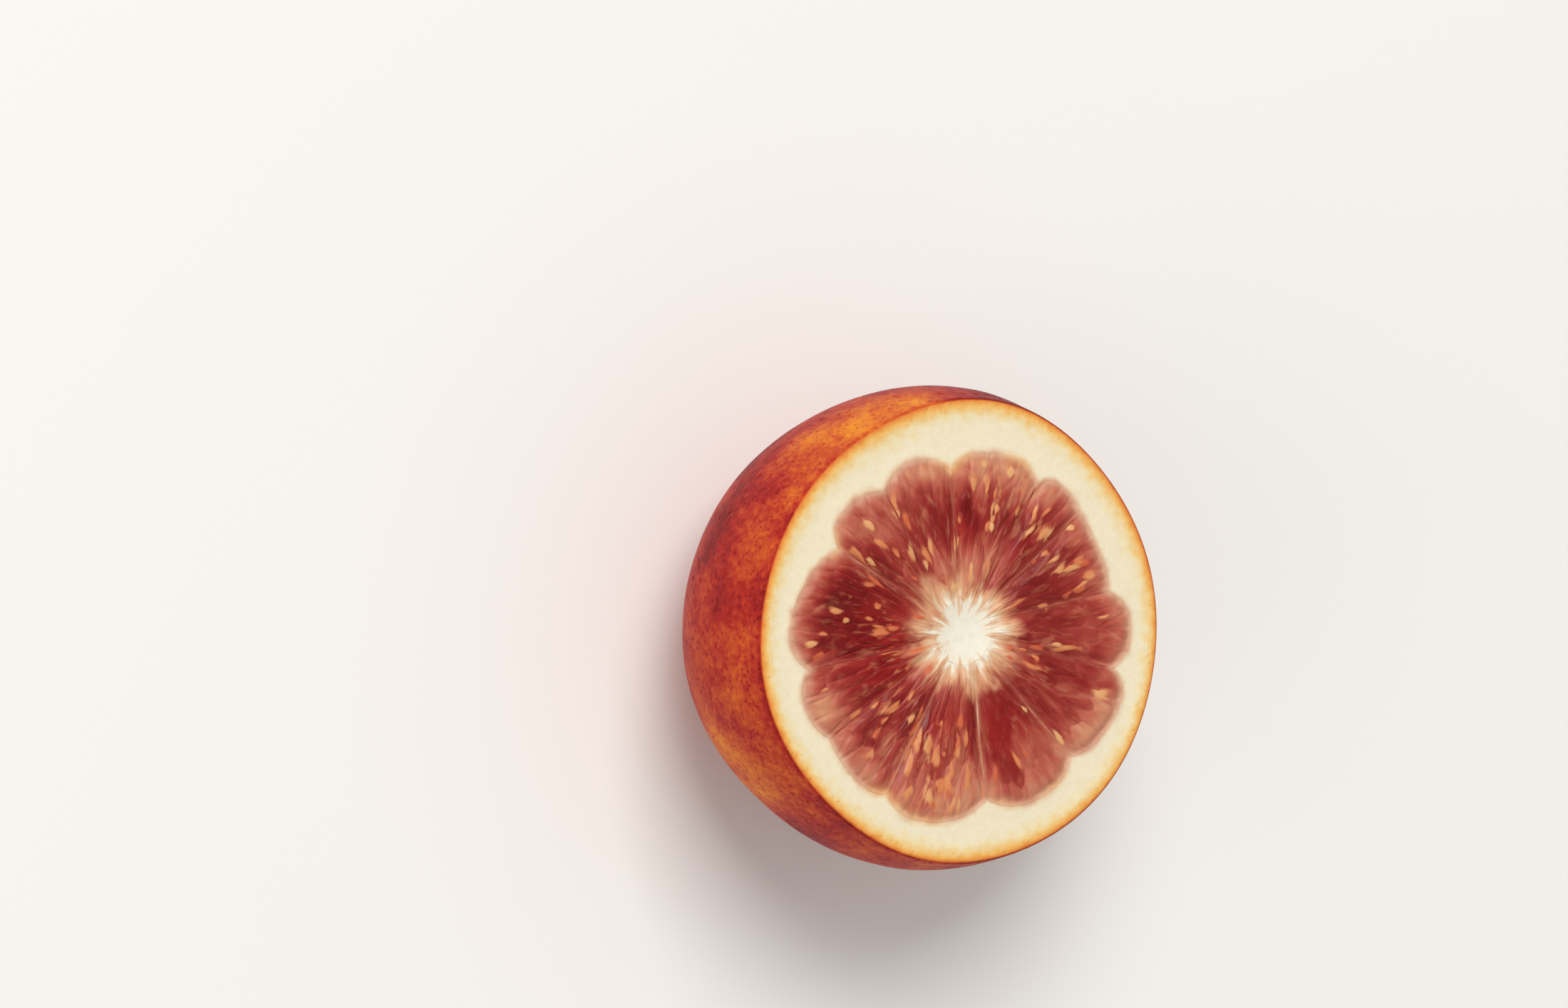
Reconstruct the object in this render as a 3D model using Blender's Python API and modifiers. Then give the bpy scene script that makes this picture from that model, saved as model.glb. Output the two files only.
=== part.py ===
"""Half of a blood orange, lying on its rind with the cut face up.

Metres, +Z up. The origin is the middle of the small flat spot that the half rests on. Angles are in
degrees and run counterclockwise from +X, seen from above.

The half is turned as a plain round blank first. Its points are then moved: the columns close up or
spread to the twelve uneven segments, the rings follow the scalloped edge of the flesh, the flesh swells
between its membranes, and the rind departs a little from round.
"""

import math

import bmesh
import bpy

MM = 0.001

# The round body, measured from the middle of its bulge
BULGE_RADIUS = 36.0 * MM
CUT_ABOVE_BULGE = 11.3 * MM
UNDERSIDE_DEPTH = 34.2 * MM
UNDERSIDE_FULLNESS = 2.15
REST_RADIUS = 9.0 * MM
RIM_ROUNDING = 0.7 * MM

# How the fruit departs from round: waves in a turn, height and the angle of a crest
LUMPS = (
    (2, 0.22 * MM, 118.0),
    (3, 0.29 * MM, 75.0),
    (4, 0.15 * MM, 0.0),
    (6, 0.15 * MM, 22.0),
)

# The cut flesh, segment by segment from the first membrane: the angle that the segment takes, how far
# the flesh reaches at its first membrane, how far at its crest, and where in the span the crest lies
FIRST_MEMBRANE = 17.0
SEGMENTS = (
    (28.0, 25.8 * MM, 27.0 * MM, 0.65),
    (19.0, 26.6 * MM, 27.9 * MM, 0.55),
    (35.5, 26.2 * MM, 27.9 * MM, 0.45),
    (27.5, 25.7 * MM, 27.8 * MM, 0.50),
    (26.5, 25.4 * MM, 27.9 * MM, 0.60),
    (41.5, 24.8 * MM, 29.6 * MM, 0.63),
    (23.0, 26.5 * MM, 28.8 * MM, 0.42),
    (27.5, 27.3 * MM, 28.0 * MM, 0.60),
    (38.5, 26.6 * MM, 28.8 * MM, 0.35),
    (35.0, 25.9 * MM, 29.2 * MM, 0.55),
    (32.5, 27.1 * MM, 30.4 * MM, 0.50),
    (25.5, 27.3 * MM, 29.9 * MM, 0.55),
)
LOBE_SQUARENESS = 2.4
CORE_RADIUS = 4.8 * MM
FLESH_RADIUS = 27.5 * MM

# Relief of the cut face, from the level of the pith: each segment swells and rounds off at its edge,
# a shallow furrow follows each membrane, and the juice sacs show as low waves
SEGMENT_SWELL = 0.50 * MM
EDGE_ROUNDING = 0.80 * MM
FURROW_DEPTH = 0.45 * MM
FURROW_HALF_WIDTH = 1.10 * MM
CORE_DIP = 0.60 * MM
SAC_SWELL = 0.16 * MM
SACS_ACROSS = 3
SACS_ALONG = 3

# How finely the blank is turned
COLUMNS_PER_SEGMENT = 13
CORE_RINGS = 2
FLESH_RINGS = 12
PITH_RINGS = 3
RIM_RINGS = 3
UPPER_RIND_RINGS = 3
UNDERSIDE_RINGS = 11
FLESH_RING_CROWDING = 1.5
MERGE_DISTANCE = 0.00001

# Finishes: a linear colour and a roughness
RIND = ((0.463, 0.080, 0.028), 0.45)
PITH = ((0.860, 0.755, 0.545), 0.65)
FLESH = ((0.270, 0.030, 0.026), 0.30)
CORE = ((0.880, 0.810, 0.700), 0.70)

COLUMNS = COLUMNS_PER_SEGMENT * len(SEGMENTS)
RIM_CENTRE_HEIGHT = CUT_ABOVE_BULGE - RIM_ROUNDING
RIM_CENTRE_RADIUS = math.sqrt((BULGE_RADIUS - RIM_ROUNDING) ** 2 - RIM_CENTRE_HEIGHT**2)
RIM_LOWER_ANGLE = math.atan2(RIM_CENTRE_HEIGHT, RIM_CENTRE_RADIUS)
REST_TURN = math.acos((REST_RADIUS / BULGE_RADIUS) ** (UNDERSIDE_FULLNESS / 2))
REST_BELOW_BULGE = UNDERSIDE_DEPTH * math.sin(REST_TURN) ** (2 / UNDERSIDE_FULLNESS)
CUT_HEIGHT = REST_BELOW_BULGE + CUT_ABOVE_BULGE


def remove_everything():
    for scene_object in list(bpy.data.objects):
        bpy.data.objects.remove(scene_object, do_unlink=True)


def fractions(count):
    """The shares 1/count, 2/count and so on up to 1."""
    return [step / count for step in range(1, count + 1)]


def face_profile():
    """Radii of the rings of the cut face, from its middle out to where the rim starts to round."""
    radii = [0.0]
    radii += [CORE_RADIUS * share for share in fractions(CORE_RINGS)]
    for share in fractions(FLESH_RINGS):
        crowded = 1 - (1 - share) ** FLESH_RING_CROWDING
        radii.append(CORE_RADIUS + (FLESH_RADIUS - CORE_RADIUS) * crowded)
    pith_width = RIM_CENTRE_RADIUS - FLESH_RADIUS
    radii += [FLESH_RADIUS + pith_width * share for share in fractions(PITH_RINGS)]
    return [(radius, CUT_HEIGHT) for radius in radii]


def rim_profile():
    """The rounded cut edge, an arc that meets the flat face and the round rind smoothly."""
    points = []
    for share in fractions(RIM_RINGS):
        angle = math.pi / 2 + (RIM_LOWER_ANGLE - math.pi / 2) * share
        radius = RIM_CENTRE_RADIUS + RIM_ROUNDING * math.cos(angle)
        height = REST_BELOW_BULGE + RIM_CENTRE_HEIGHT + RIM_ROUNDING * math.sin(angle)
        points.append((radius, height))
    return points


def rind_profile():
    """The rind: part of a ball down to the bulge, then a slightly fuller and shallower underside."""
    points = []
    for share in fractions(UPPER_RIND_RINGS):
        angle = RIM_LOWER_ANGLE * (1 - share)
        height = REST_BELOW_BULGE + BULGE_RADIUS * math.sin(angle)
        points.append((BULGE_RADIUS * math.cos(angle), height))
    power = 2 / UNDERSIDE_FULLNESS
    for share in fractions(UNDERSIDE_RINGS):
        turn = REST_TURN * share
        radius = BULGE_RADIUS * math.cos(turn) ** power
        height = REST_BELOW_BULGE - UNDERSIDE_DEPTH * math.sin(turn) ** power
        points.append((radius, height))
    points.append((0.0, 0.0))
    return points


def turned_blank(name):
    """The profile turned once round +Z, as a plain mesh with its poles closed."""
    profile = face_profile() + rim_profile() + rind_profile()
    line = bpy.data.meshes.new(name + "_profile")
    edges = [(index, index + 1) for index in range(len(profile) - 1)]
    line.from_pydata([(radius, 0.0, height) for radius, height in profile], edges, [])
    turned = bpy.data.objects.new(name + "_turned", line)
    bpy.context.scene.collection.objects.link(turned)
    screw = turned.modifiers.new("Turn", "SCREW")
    screw.axis = "Z"
    screw.angle = math.tau
    screw.steps = COLUMNS
    screw.render_steps = COLUMNS
    screw.use_merge_vertices = True
    screw.merge_threshold = MERGE_DISTANCE
    graph = bpy.context.evaluated_depsgraph_get()
    mesh = bpy.data.meshes.new_from_object(turned.evaluated_get(graph))
    bpy.data.objects.remove(turned, do_unlink=True)
    mesh.name = name
    return mesh


def place_in_segment(column):
    """For a column of the blank: which segment it falls in, how far across it, and the real angle."""
    number, step = divmod(column, COLUMNS_PER_SEGMENT)
    across = step / COLUMNS_PER_SEGMENT
    start = FIRST_MEMBRANE + sum(segment[0] for segment in SEGMENTS[:number])
    return number, across, math.radians(start + SEGMENTS[number][0] * across)


def flesh_reach(number, across):
    """How far the flesh reaches from the centre: a round lobe between the notches at two membranes."""
    _, first_notch, crest, crest_place = SEGMENTS[number]
    last_notch = SEGMENTS[(number + 1) % len(SEGMENTS)][1]
    between = first_notch + (last_notch - first_notch) * across
    between_at_crest = first_notch + (last_notch - first_notch) * crest_place
    side = crest_place if across < crest_place else 1 - crest_place
    lobe = 1 - (abs(across - crest_place) / side) ** LOBE_SQUARENESS
    return between + (crest - between_at_crest) * lobe


def lump(angle):
    """How far the fruit stands out of round at an angle."""
    return sum(
        height * math.cos(waves * (angle - math.radians(crest))) for waves, height, crest in LUMPS
    )


def lump_share(radius):
    """The lumps fade to nothing at the flat spot, which stays round."""
    return max(0.0, (radius - REST_RADIUS) / (BULGE_RADIUS - REST_RADIUS))


def flesh_height(number, across, radius, reach):
    """Relief of one segment at a radius: its swell, the furrows beside it and the sacs on it."""
    span = math.radians(SEGMENTS[number][0])
    to_membrane = radius * math.sin(span * min(across, 1 - across))
    between = 1 - math.exp(-((to_membrane / FURROW_HALF_WIDTH) ** 2))
    to_edge = min(reach - radius, radius - CORE_RADIUS)
    inside = 1 - math.exp(-to_edge / EDGE_ROUNDING)
    along = (radius - CORE_RADIUS) / (reach - CORE_RADIUS)
    sacs = math.cos(math.tau * SACS_ACROSS * across) * math.cos(math.pi * SACS_ALONG * along)
    swell = SEGMENT_SWELL + SAC_SWELL * sacs * radius / reach
    return inside * (between * swell - (1 - between) * FURROW_DEPTH)


def carved_point(radius, column, height):
    """Where a point of the blank goes."""
    number, across, angle = place_in_segment(column)
    swollen = lump(angle) * lump_share(radius)
    if height < CUT_HEIGHT - MERGE_DISTANCE or radius > RIM_CENTRE_RADIUS + MERGE_DISTANCE:
        radius += swollen
    elif radius > FLESH_RADIUS + MERGE_DISTANCE:
        reach = flesh_reach(number, across)
        outwards = (radius - FLESH_RADIUS) / (RIM_CENTRE_RADIUS - FLESH_RADIUS)
        edge = RIM_CENTRE_RADIUS + lump(angle) * lump_share(RIM_CENTRE_RADIUS)
        radius = reach + (edge - reach) * outwards
    elif radius > CORE_RADIUS + MERGE_DISTANCE:
        outwards = (radius - CORE_RADIUS) / (FLESH_RADIUS - CORE_RADIUS)
        reach = flesh_reach(number, across)
        radius = CORE_RADIUS + (reach - CORE_RADIUS) * outwards
        height += flesh_height(number, across, radius, reach)
    else:
        height -= CORE_DIP * (1 - (radius / CORE_RADIUS) ** 2)
    return radius * math.cos(angle), radius * math.sin(angle), height


def carve(mesh):
    """Move every point of the turned blank to its place on the real half."""
    step = math.tau / COLUMNS
    for vertex in mesh.vertices:
        x, y, z = vertex.co
        column = round((math.atan2(y, x) % math.tau) / step) % COLUMNS
        vertex.co = carved_point(math.hypot(x, y), column, z)


def surface_material(name, finish):
    colour, roughness = finish
    material = bpy.data.materials.new(name)
    material.use_nodes = True
    shader = material.node_tree.nodes["Principled BSDF"]
    shader.inputs["Base Color"].default_value = (*colour, 1.0)
    shader.inputs["Roughness"].default_value = roughness
    shader.inputs["Metallic"].default_value = 0.0
    material.diffuse_color = (*colour, 1.0)
    return material


def paint_rings(mesh):
    """Give each ring its finish by its place in the turned profile, before the points are moved."""
    for material in (
        surface_material("blood_orange_rind", RIND),
        surface_material("white_pith", PITH),
        surface_material("dark_red_flesh", FLESH),
        surface_material("spongy_core", CORE),
    ):
        mesh.materials.append(material)
    for polygon in mesh.polygons:
        radius = math.hypot(polygon.center.x, polygon.center.y)
        if polygon.center.z < CUT_HEIGHT - MERGE_DISTANCE:
            polygon.material_index = 0
        elif radius > FLESH_RADIUS:
            polygon.material_index = 1
        elif radius > CORE_RADIUS:
            polygon.material_index = 2
        else:
            polygon.material_index = 3


def close_and_smooth(mesh):
    """Weld the turned seam, turn every face outwards and shade the half as a round thing."""
    shell = bmesh.new()
    shell.from_mesh(mesh)
    bmesh.ops.remove_doubles(shell, verts=shell.verts, dist=MERGE_DISTANCE)
    bmesh.ops.recalc_face_normals(shell, faces=shell.faces)
    shell.to_mesh(mesh)
    shell.free()
    mesh.shade_smooth()


def build_half():
    collection = bpy.data.collections.new("Blood orange half")
    bpy.context.scene.collection.children.link(collection)
    mesh = turned_blank("blood_orange_half")
    paint_rings(mesh)
    carve(mesh)
    close_and_smooth(mesh)
    half = bpy.data.objects.new("blood_orange_half", mesh)
    collection.objects.link(half)


remove_everything()
build_half()
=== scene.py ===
"""Half of a blood orange, lying on its rind with the cut face up.

Metres, +Z up. The origin is the middle of the small flat spot that the half rests on. Angles are in
degrees where they are written down, and run counterclockwise from +X, seen from above.
"""

import math

import bpy
import numpy as np
from mathutils import Matrix, Vector


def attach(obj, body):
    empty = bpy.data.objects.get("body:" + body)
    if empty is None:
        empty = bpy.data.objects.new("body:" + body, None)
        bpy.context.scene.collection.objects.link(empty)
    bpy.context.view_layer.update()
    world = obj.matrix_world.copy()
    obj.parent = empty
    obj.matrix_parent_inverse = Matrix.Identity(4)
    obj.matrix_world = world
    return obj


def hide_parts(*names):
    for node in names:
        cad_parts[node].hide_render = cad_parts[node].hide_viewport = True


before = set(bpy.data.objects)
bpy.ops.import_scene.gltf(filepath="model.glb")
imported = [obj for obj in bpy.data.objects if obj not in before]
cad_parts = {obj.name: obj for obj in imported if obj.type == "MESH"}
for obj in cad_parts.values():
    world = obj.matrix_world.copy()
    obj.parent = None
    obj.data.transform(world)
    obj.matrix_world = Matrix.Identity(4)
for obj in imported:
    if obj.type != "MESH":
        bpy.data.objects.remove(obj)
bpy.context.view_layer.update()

# The rind
# The waxy outer skin, full of oil glands. It is orange where it hung in the shade and flushed crimson
# elsewhere. Its colour also holds painted shade, darker crimson along the outline in view and under
# the cut edge, and painted light near the cut at the top. The knife left its edge a little rounded,
# and the yellow layer under the skin shows there.

MM = 0.001

BULGE_RADIUS = 36.0 * MM
CUT_ABOVE_BULGE = 11.3 * MM
UNDERSIDE_DEPTH = 34.2 * MM
UNDERSIDE_FULLNESS = 2.15
REST_RADIUS = 9.0 * MM
RIM_ROUNDING = 0.7 * MM
RIND_THICKNESS = 1.7 * MM
FULL_PITS_BELOW_RIM = 2.0 * MM
FULL_PITS_ABOVE_REST = 1.5 * MM

# How the fruit is out of round: waves in a turn, height and the angle of a crest
LUMPS = (
    (2, 0.22 * MM, 118.0),
    (3, 0.29 * MM, 75.0),
    (4, 0.15 * MM, 0.0),
    (6, 0.15 * MM, 22.0),
)

RIM_CENTRE_HEIGHT = CUT_ABOVE_BULGE - RIM_ROUNDING
RIM_CENTRE_RADIUS = math.sqrt((BULGE_RADIUS - RIM_ROUNDING) ** 2 - RIM_CENTRE_HEIGHT**2)
RIM_LOWER_ANGLE = math.atan2(RIM_CENTRE_HEIGHT, RIM_CENTRE_RADIUS)
REST_TURN = math.acos((REST_RADIUS / BULGE_RADIUS) ** (UNDERSIDE_FULLNESS / 2))
BULGE_HEIGHT = UNDERSIDE_DEPTH * math.sin(REST_TURN) ** (2 / UNDERSIDE_FULLNESS)
CUT_HEIGHT = BULGE_HEIGHT + CUT_ABOVE_BULGE
BULGE_CENTRE = np.array((0.0, 0.0, BULGE_HEIGHT))
SKIN_EDGE_RADIUS = BULGE_RADIUS * math.cos(RIM_LOWER_ANGLE)

PEEL_COLUMNS = 536
RIM_ROWS = 5
UPPER_RIND_ROWS = 26
UNDERSIDE_ROWS = 112
REST_ROWS = 6
CUT_EDGE_ROWS = 4
HIDDEN_ROWS = 12
ROWS_ABOVE_HIDDEN_WALL = 9
CRISP_CORNER = math.radians(50.0)
PEEL_ANGLES = np.linspace(0.0, math.tau, PEEL_COLUMNS, endpoint=False)


def lump(angle):
    """How far the fruit stands out of round at an angle."""
    return sum(height * np.cos(waves * (angle - math.radians(crest))) for waves, height, crest in LUMPS)


def lump_share(radius):
    """The lumps fade to nothing at the flat spot, which stays round."""
    return np.maximum(0.0, (radius - REST_RADIUS) / (BULGE_RADIUS - REST_RADIUS))


def peel_ring(radius, height):
    """A ring of points round the fruit, with its lumps."""
    uneven = radius + lump(PEEL_ANGLES) * lump_share(radius)
    heights = np.full(PEEL_COLUMNS, height)
    return np.column_stack((uneven * np.cos(PEEL_ANGLES), uneven * np.sin(PEEL_ANGLES), heights))


def skin_profile():
    """Radius and height down the outside, from the cut face over the rounded rim to the flat spot."""
    profile = []
    for angle in np.linspace(math.pi / 2, RIM_LOWER_ANGLE, RIM_ROWS, endpoint=False):
        radius = RIM_CENTRE_RADIUS + RIM_ROUNDING * math.cos(angle)
        height = BULGE_HEIGHT + RIM_CENTRE_HEIGHT + RIM_ROUNDING * math.sin(angle)
        profile.append((radius, height))
    for angle in np.linspace(RIM_LOWER_ANGLE, 0.0, UPPER_RIND_ROWS, endpoint=False):
        radius = BULGE_RADIUS * math.cos(angle)
        profile.append((radius, BULGE_HEIGHT + BULGE_RADIUS * math.sin(angle)))
    power = 2 / UNDERSIDE_FULLNESS
    for turn in np.linspace(0.0, REST_TURN, UNDERSIDE_ROWS):
        radius = BULGE_RADIUS * math.cos(turn) ** power
        profile.append((radius, BULGE_HEIGHT - UNDERSIDE_DEPTH * math.sin(turn) ** power))
    for radius in np.linspace(REST_RADIUS, 0.0, REST_ROWS, endpoint=False)[1:]:
        profile.append((radius, 0.0))
    return profile


def under_skin_ring(depth, radius, height):
    """A ring that lies a depth below a point of the skin, towards the middle of the fruit."""
    from_centre = math.hypot(radius, height - BULGE_HEIGHT)
    nearer = 1 - depth / from_centre
    return peel_ring(radius * nearer, BULGE_HEIGHT + (height - BULGE_HEIGHT) * nearer)


def hidden_wall(depth):
    """Rings from the bottom of the fruit up to the cut face, all at one depth under the skin."""
    profile = skin_profile()[ROWS_ABOVE_HIDDEN_WALL:]
    chosen = np.linspace(len(profile) - 1, 0, HIDDEN_ROWS).astype(int)
    return [under_skin_ring(depth, *profile[index]) for index in chosen]


def closed_mesh(name, rings):
    """A closed skin through rings of points, with a pole inside the first ring and in the last."""
    columns = len(rings[0])
    points = np.vstack([rings[0].mean(0), *rings, rings[-1].mean(0)])
    last = len(points) - 1
    faces = []
    for column in range(columns):
        following = (column + 1) % columns
        faces.append((0, 1 + column, 1 + following))
        for row_start in range(1, last - columns, columns):
            below = row_start + columns
            faces.append((row_start + column, below + column, below + following, row_start + following))
        faces.append((last - columns + column, last, last - columns + following))
    return smooth_mesh(name, points, faces)


def smooth_mesh(name, points, faces):
    """A mesh that shades smooth, but keeps its cut corners crisp."""
    mesh = bpy.data.meshes.new(name)
    mesh.from_pydata(points.tolist(), [], faces)
    mesh.shade_smooth()
    mesh.set_sharp_from_angle(angle=CRISP_CORNER)
    return mesh


def add_piece(mesh):
    """Put a mesh in the scene as a piece of its own, at the origin."""
    piece = bpy.data.objects.new(mesh.name, mesh)
    bpy.context.scene.collection.objects.link(piece)
    return piece


def points_of(mesh):
    """The places of a mesh's points, one row each."""
    points = np.empty(len(mesh.vertices) * 3, np.float32)
    mesh.vertices.foreach_get("co", points)
    return points.reshape(-1, 3).astype(float)


def note_on_points(mesh, name, values):
    """Keep a number for each point of a mesh, for its material or its geometry nodes."""
    attribute = mesh.attributes.new(name, "FLOAT", "POINT")
    attribute.data.foreach_set("value", np.asarray(values, np.float32))


def linear(colour):
    """An sRGB hex colour as the linear red, green, blue and alpha that a shader takes."""
    shares = [int(colour[start : start + 2], 16) / 255 for start in (0, 2, 4)]
    return tuple(
        share / 12.92 if share <= 0.04045 else ((share + 0.055) / 1.055) ** 2.4 for share in shares
    ) + (1.0,)


def named_socket(sockets, key):
    """A socket by its identifier, which is unique where several sockets share a name."""
    for socket in sockets:
        if socket.identifier == key:
            return socket
    return sockets[key]


def add_node(tree, kind, settings=None, links=None):
    """Add a node. A link comes from a socket, or from a node's first output that is in use."""
    node = tree.nodes.new(kind)
    input_keys = {socket.identifier for socket in node.inputs} | set(node.inputs.keys())
    for key, value in (settings or {}).items():
        if key == "stops":
            ramp = node.color_ramp
            while len(ramp.elements) < len(value):
                ramp.elements.new(1.0)
            for element, (place, colour) in zip(ramp.elements, value):
                element.position = place
                element.color = linear(colour)
        elif key in input_keys and not hasattr(node, key):
            named_socket(node.inputs, key).default_value = value
        else:
            setattr(node, key, value)
    for key, source in (links or {}).items():
        if isinstance(source, bpy.types.Node):
            source = next(socket for socket in source.outputs if socket.enabled)
        tree.links.new(source, named_socket(node.inputs, key))
    return node


# Settings that many nodes share: the range that holds most of a noise, and a step with soft ends
NOISE_RANGE = {"From Min": 0.3, "From Max": 0.7}
SOFT_STEP = {"interpolation_type": "SMOOTHSTEP"}


def start_geometry_tree(name, sizes):
    """A geometry tree with a named input for each size, and the sockets that hand them out."""
    tree = bpy.data.node_groups.new(name, "GeometryNodeTree")
    inputs = {"Geometry": "NodeSocketGeometry", **dict.fromkeys(sizes, "NodeSocketFloat")}
    inputs["Material"] = "NodeSocketMaterial"
    for input_name, socket_type in inputs.items():
        tree.interface.new_socket(input_name, in_out="INPUT", socket_type=socket_type)
    tree.interface.new_socket("Geometry", in_out="OUTPUT", socket_type="NodeSocketGeometry")
    return tree, add_node(tree, "NodeGroupInput").outputs


def end_geometry_tree(tree, geometry, material):
    """End a geometry tree with a plain mesh in its material."""
    realized = add_node(tree, "GeometryNodeRealizeInstances", {}, {"Geometry": geometry})
    painted = add_node(tree, "GeometryNodeSetMaterial", {}, {"Geometry": realized, "Material": material})
    add_node(tree, "NodeGroupOutput", {}, {"Geometry": painted})


def grow(piece, tree, values):
    """Run a geometry tree on a piece once, and keep the result as its plain mesh."""
    modifier = piece.modifiers.new(tree.name, "NODES")
    modifier.node_group = tree
    for item in tree.interface.items_tree:
        if item.in_out == "INPUT" and item.name in values:
            modifier[item.identifier] = values[item.name]
    graph = bpy.context.evaluated_depsgraph_get()
    grown = bpy.data.meshes.new_from_object(
        piece.evaluated_get(graph), preserve_all_data_layers=True, depsgraph=graph
    )
    piece.modifiers.remove(modifier)
    piece.data = grown


# Where the skin departs from its usual flush: angle, latitude, spread and how much redder. Most are
# the skin's own blush; some are painted shade or painted light, as marked
BASE_BLUSH = 0.60
BLUSH_AND_PAINTED_SHADING_PATCHES = (
    # Partly painted light: the skin's own orange, made lighter near the cut at the top where the light
    # falls
    (116.0, 12.0, 22.0, -0.42),
    (222.0, -18.0, 17.0, -0.22),
    (272.0, 14.0, 12.0, -0.06),
    (15.0, 0.0, 40.0, -0.20),
    (330.0, -15.0, 25.0, -0.15),
    # Painted shade: the next five darken the skin along the outline that the camera sees, where it turns
    # from the light
    (150.0, -25.0, 25.0, 0.16),
    (82.0, 4.0, 18.0, 0.58),
    (108.0, -12.0, 14.0, 0.38),
    (124.0, -19.0, 10.0, 0.22),
    (140.0, -25.0, 10.0, 0.10),
    (180.0, 9.0, 12.0, 0.14),
    (124.0, 0.0, 6.0, 0.12),
    (138.0, -5.0, 7.0, 0.22),
    (152.0, -6.0, 8.0, 0.20),
    (219.0, -5.0, 9.0, -0.12),
    (243.0, 0.0, 11.0, 0.25),
    (243.0, 17.0, 8.0, 0.20),
    # Painted shade: darker along the lower outline in view
    (258.0, -22.0, 16.0, 0.30),
    (165.0, -5.0, 12.0, 0.12),
)
# Painted shade under the cut edge: how wide it is and how much darker
PAINTED_RIM_SHADE_WIDTH = 0.7 * MM
PAINTED_RIM_SHADE = 0.22


def skin_blush_and_painted_shading(points):
    """How red the skin is at each point: 0 for orange, 1 for dark crimson, with painted shade and light in
    it.
    """
    directions = points - BULGE_CENTRE
    directions /= np.linalg.norm(directions, axis=1)[:, None]
    blush = np.full(len(points), BASE_BLUSH)
    for angle, latitude, spread, redder in BLUSH_AND_PAINTED_SHADING_PATCHES:
        around, up = math.radians(angle), math.radians(latitude)
        middle = (math.cos(up) * math.cos(around), math.cos(up) * math.sin(around), math.sin(up))
        apart = np.degrees(np.arccos(np.clip(directions @ np.array(middle), -1, 1)))
        blush += redder * np.exp(-((apart / spread) ** 2))
    # Painted shade: a thin darker crimson line just under the cut edge, where the rim rounds over
    below_cut = np.maximum(CUT_HEIGHT - points[:, 2], 0)
    return blush + PAINTED_RIM_SHADE * np.exp(-((below_cut / PAINTED_RIM_SHADE_WIDTH) ** 2))


def stretch_at(angles, stretches):
    """One, and more or less where a stretch has its angle, by its spread and share."""
    stretch = np.ones(np.shape(angles))
    for middle, spread, share in stretches:
        apart = (angles - math.radians(middle) + math.pi) % math.tau - math.pi
        stretch += share * np.exp(-((apart / math.radians(spread)) ** 2))
    return stretch


# Where the colour of the skin soaks less deep into the cut peel, or deeper: angle, spread and share
SOAK_STRETCHES = (
    (35.0, 18.0, -0.12),
    (120.0, 20.0, -0.22),
    (205.0, 35.0, 0.25),
    (345.0, 25.0, 0.25),
)


def depth_under_skin(points):
    """How far in from the skin's edge a point of the cut face counts as lying, and 0 on the skin."""
    angles = np.arctan2(points[:, 1], points[:, 0])
    edge = SKIN_EDGE_RADIUS + lump(angles) * lump_share(SKIN_EDGE_RADIUS)
    inwards = (edge - np.hypot(points[:, 0], points[:, 1])) * stretch_at(angles, SOAK_STRETCHES)
    above_rim = points[:, 2] > CUT_HEIGHT - RIM_ROUNDING
    return np.where(above_rim, np.maximum(inwards, 0), 0)


def rind_mesh():
    """The rind: up the hidden wall, over the cut edge, and down the skin to the flat spot."""
    rings = hidden_wall(RIND_THICKNESS)
    inner_edge = SKIN_EDGE_RADIUS - RIND_THICKNESS
    for radius in np.linspace(inner_edge, RIM_CENTRE_RADIUS, CUT_EDGE_ROWS, endpoint=False):
        rings.append(peel_ring(radius, CUT_HEIGHT))
    first_skin_point = 1 + PEEL_COLUMNS * (len(rings) + RIM_ROWS)
    rings += [peel_ring(radius, height) for radius, height in skin_profile()]
    mesh = closed_mesh("rind", rings)
    points = points_of(mesh)
    on_skin = np.arange(len(points)) >= first_skin_point
    below_rim = np.clip((CUT_HEIGHT - RIM_ROUNDING - points[:, 2]) / FULL_PITS_BELOW_RIM, 0, 1)
    above_rest = np.clip(points[:, 2] / FULL_PITS_ABOVE_REST, 0, 1)
    note_on_points(mesh, "skin", on_skin * below_rim * above_rest)
    note_on_points(mesh, "blush", skin_blush_and_painted_shading(points))
    note_on_points(mesh, "under_skin", depth_under_skin(points))
    return mesh


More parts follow.
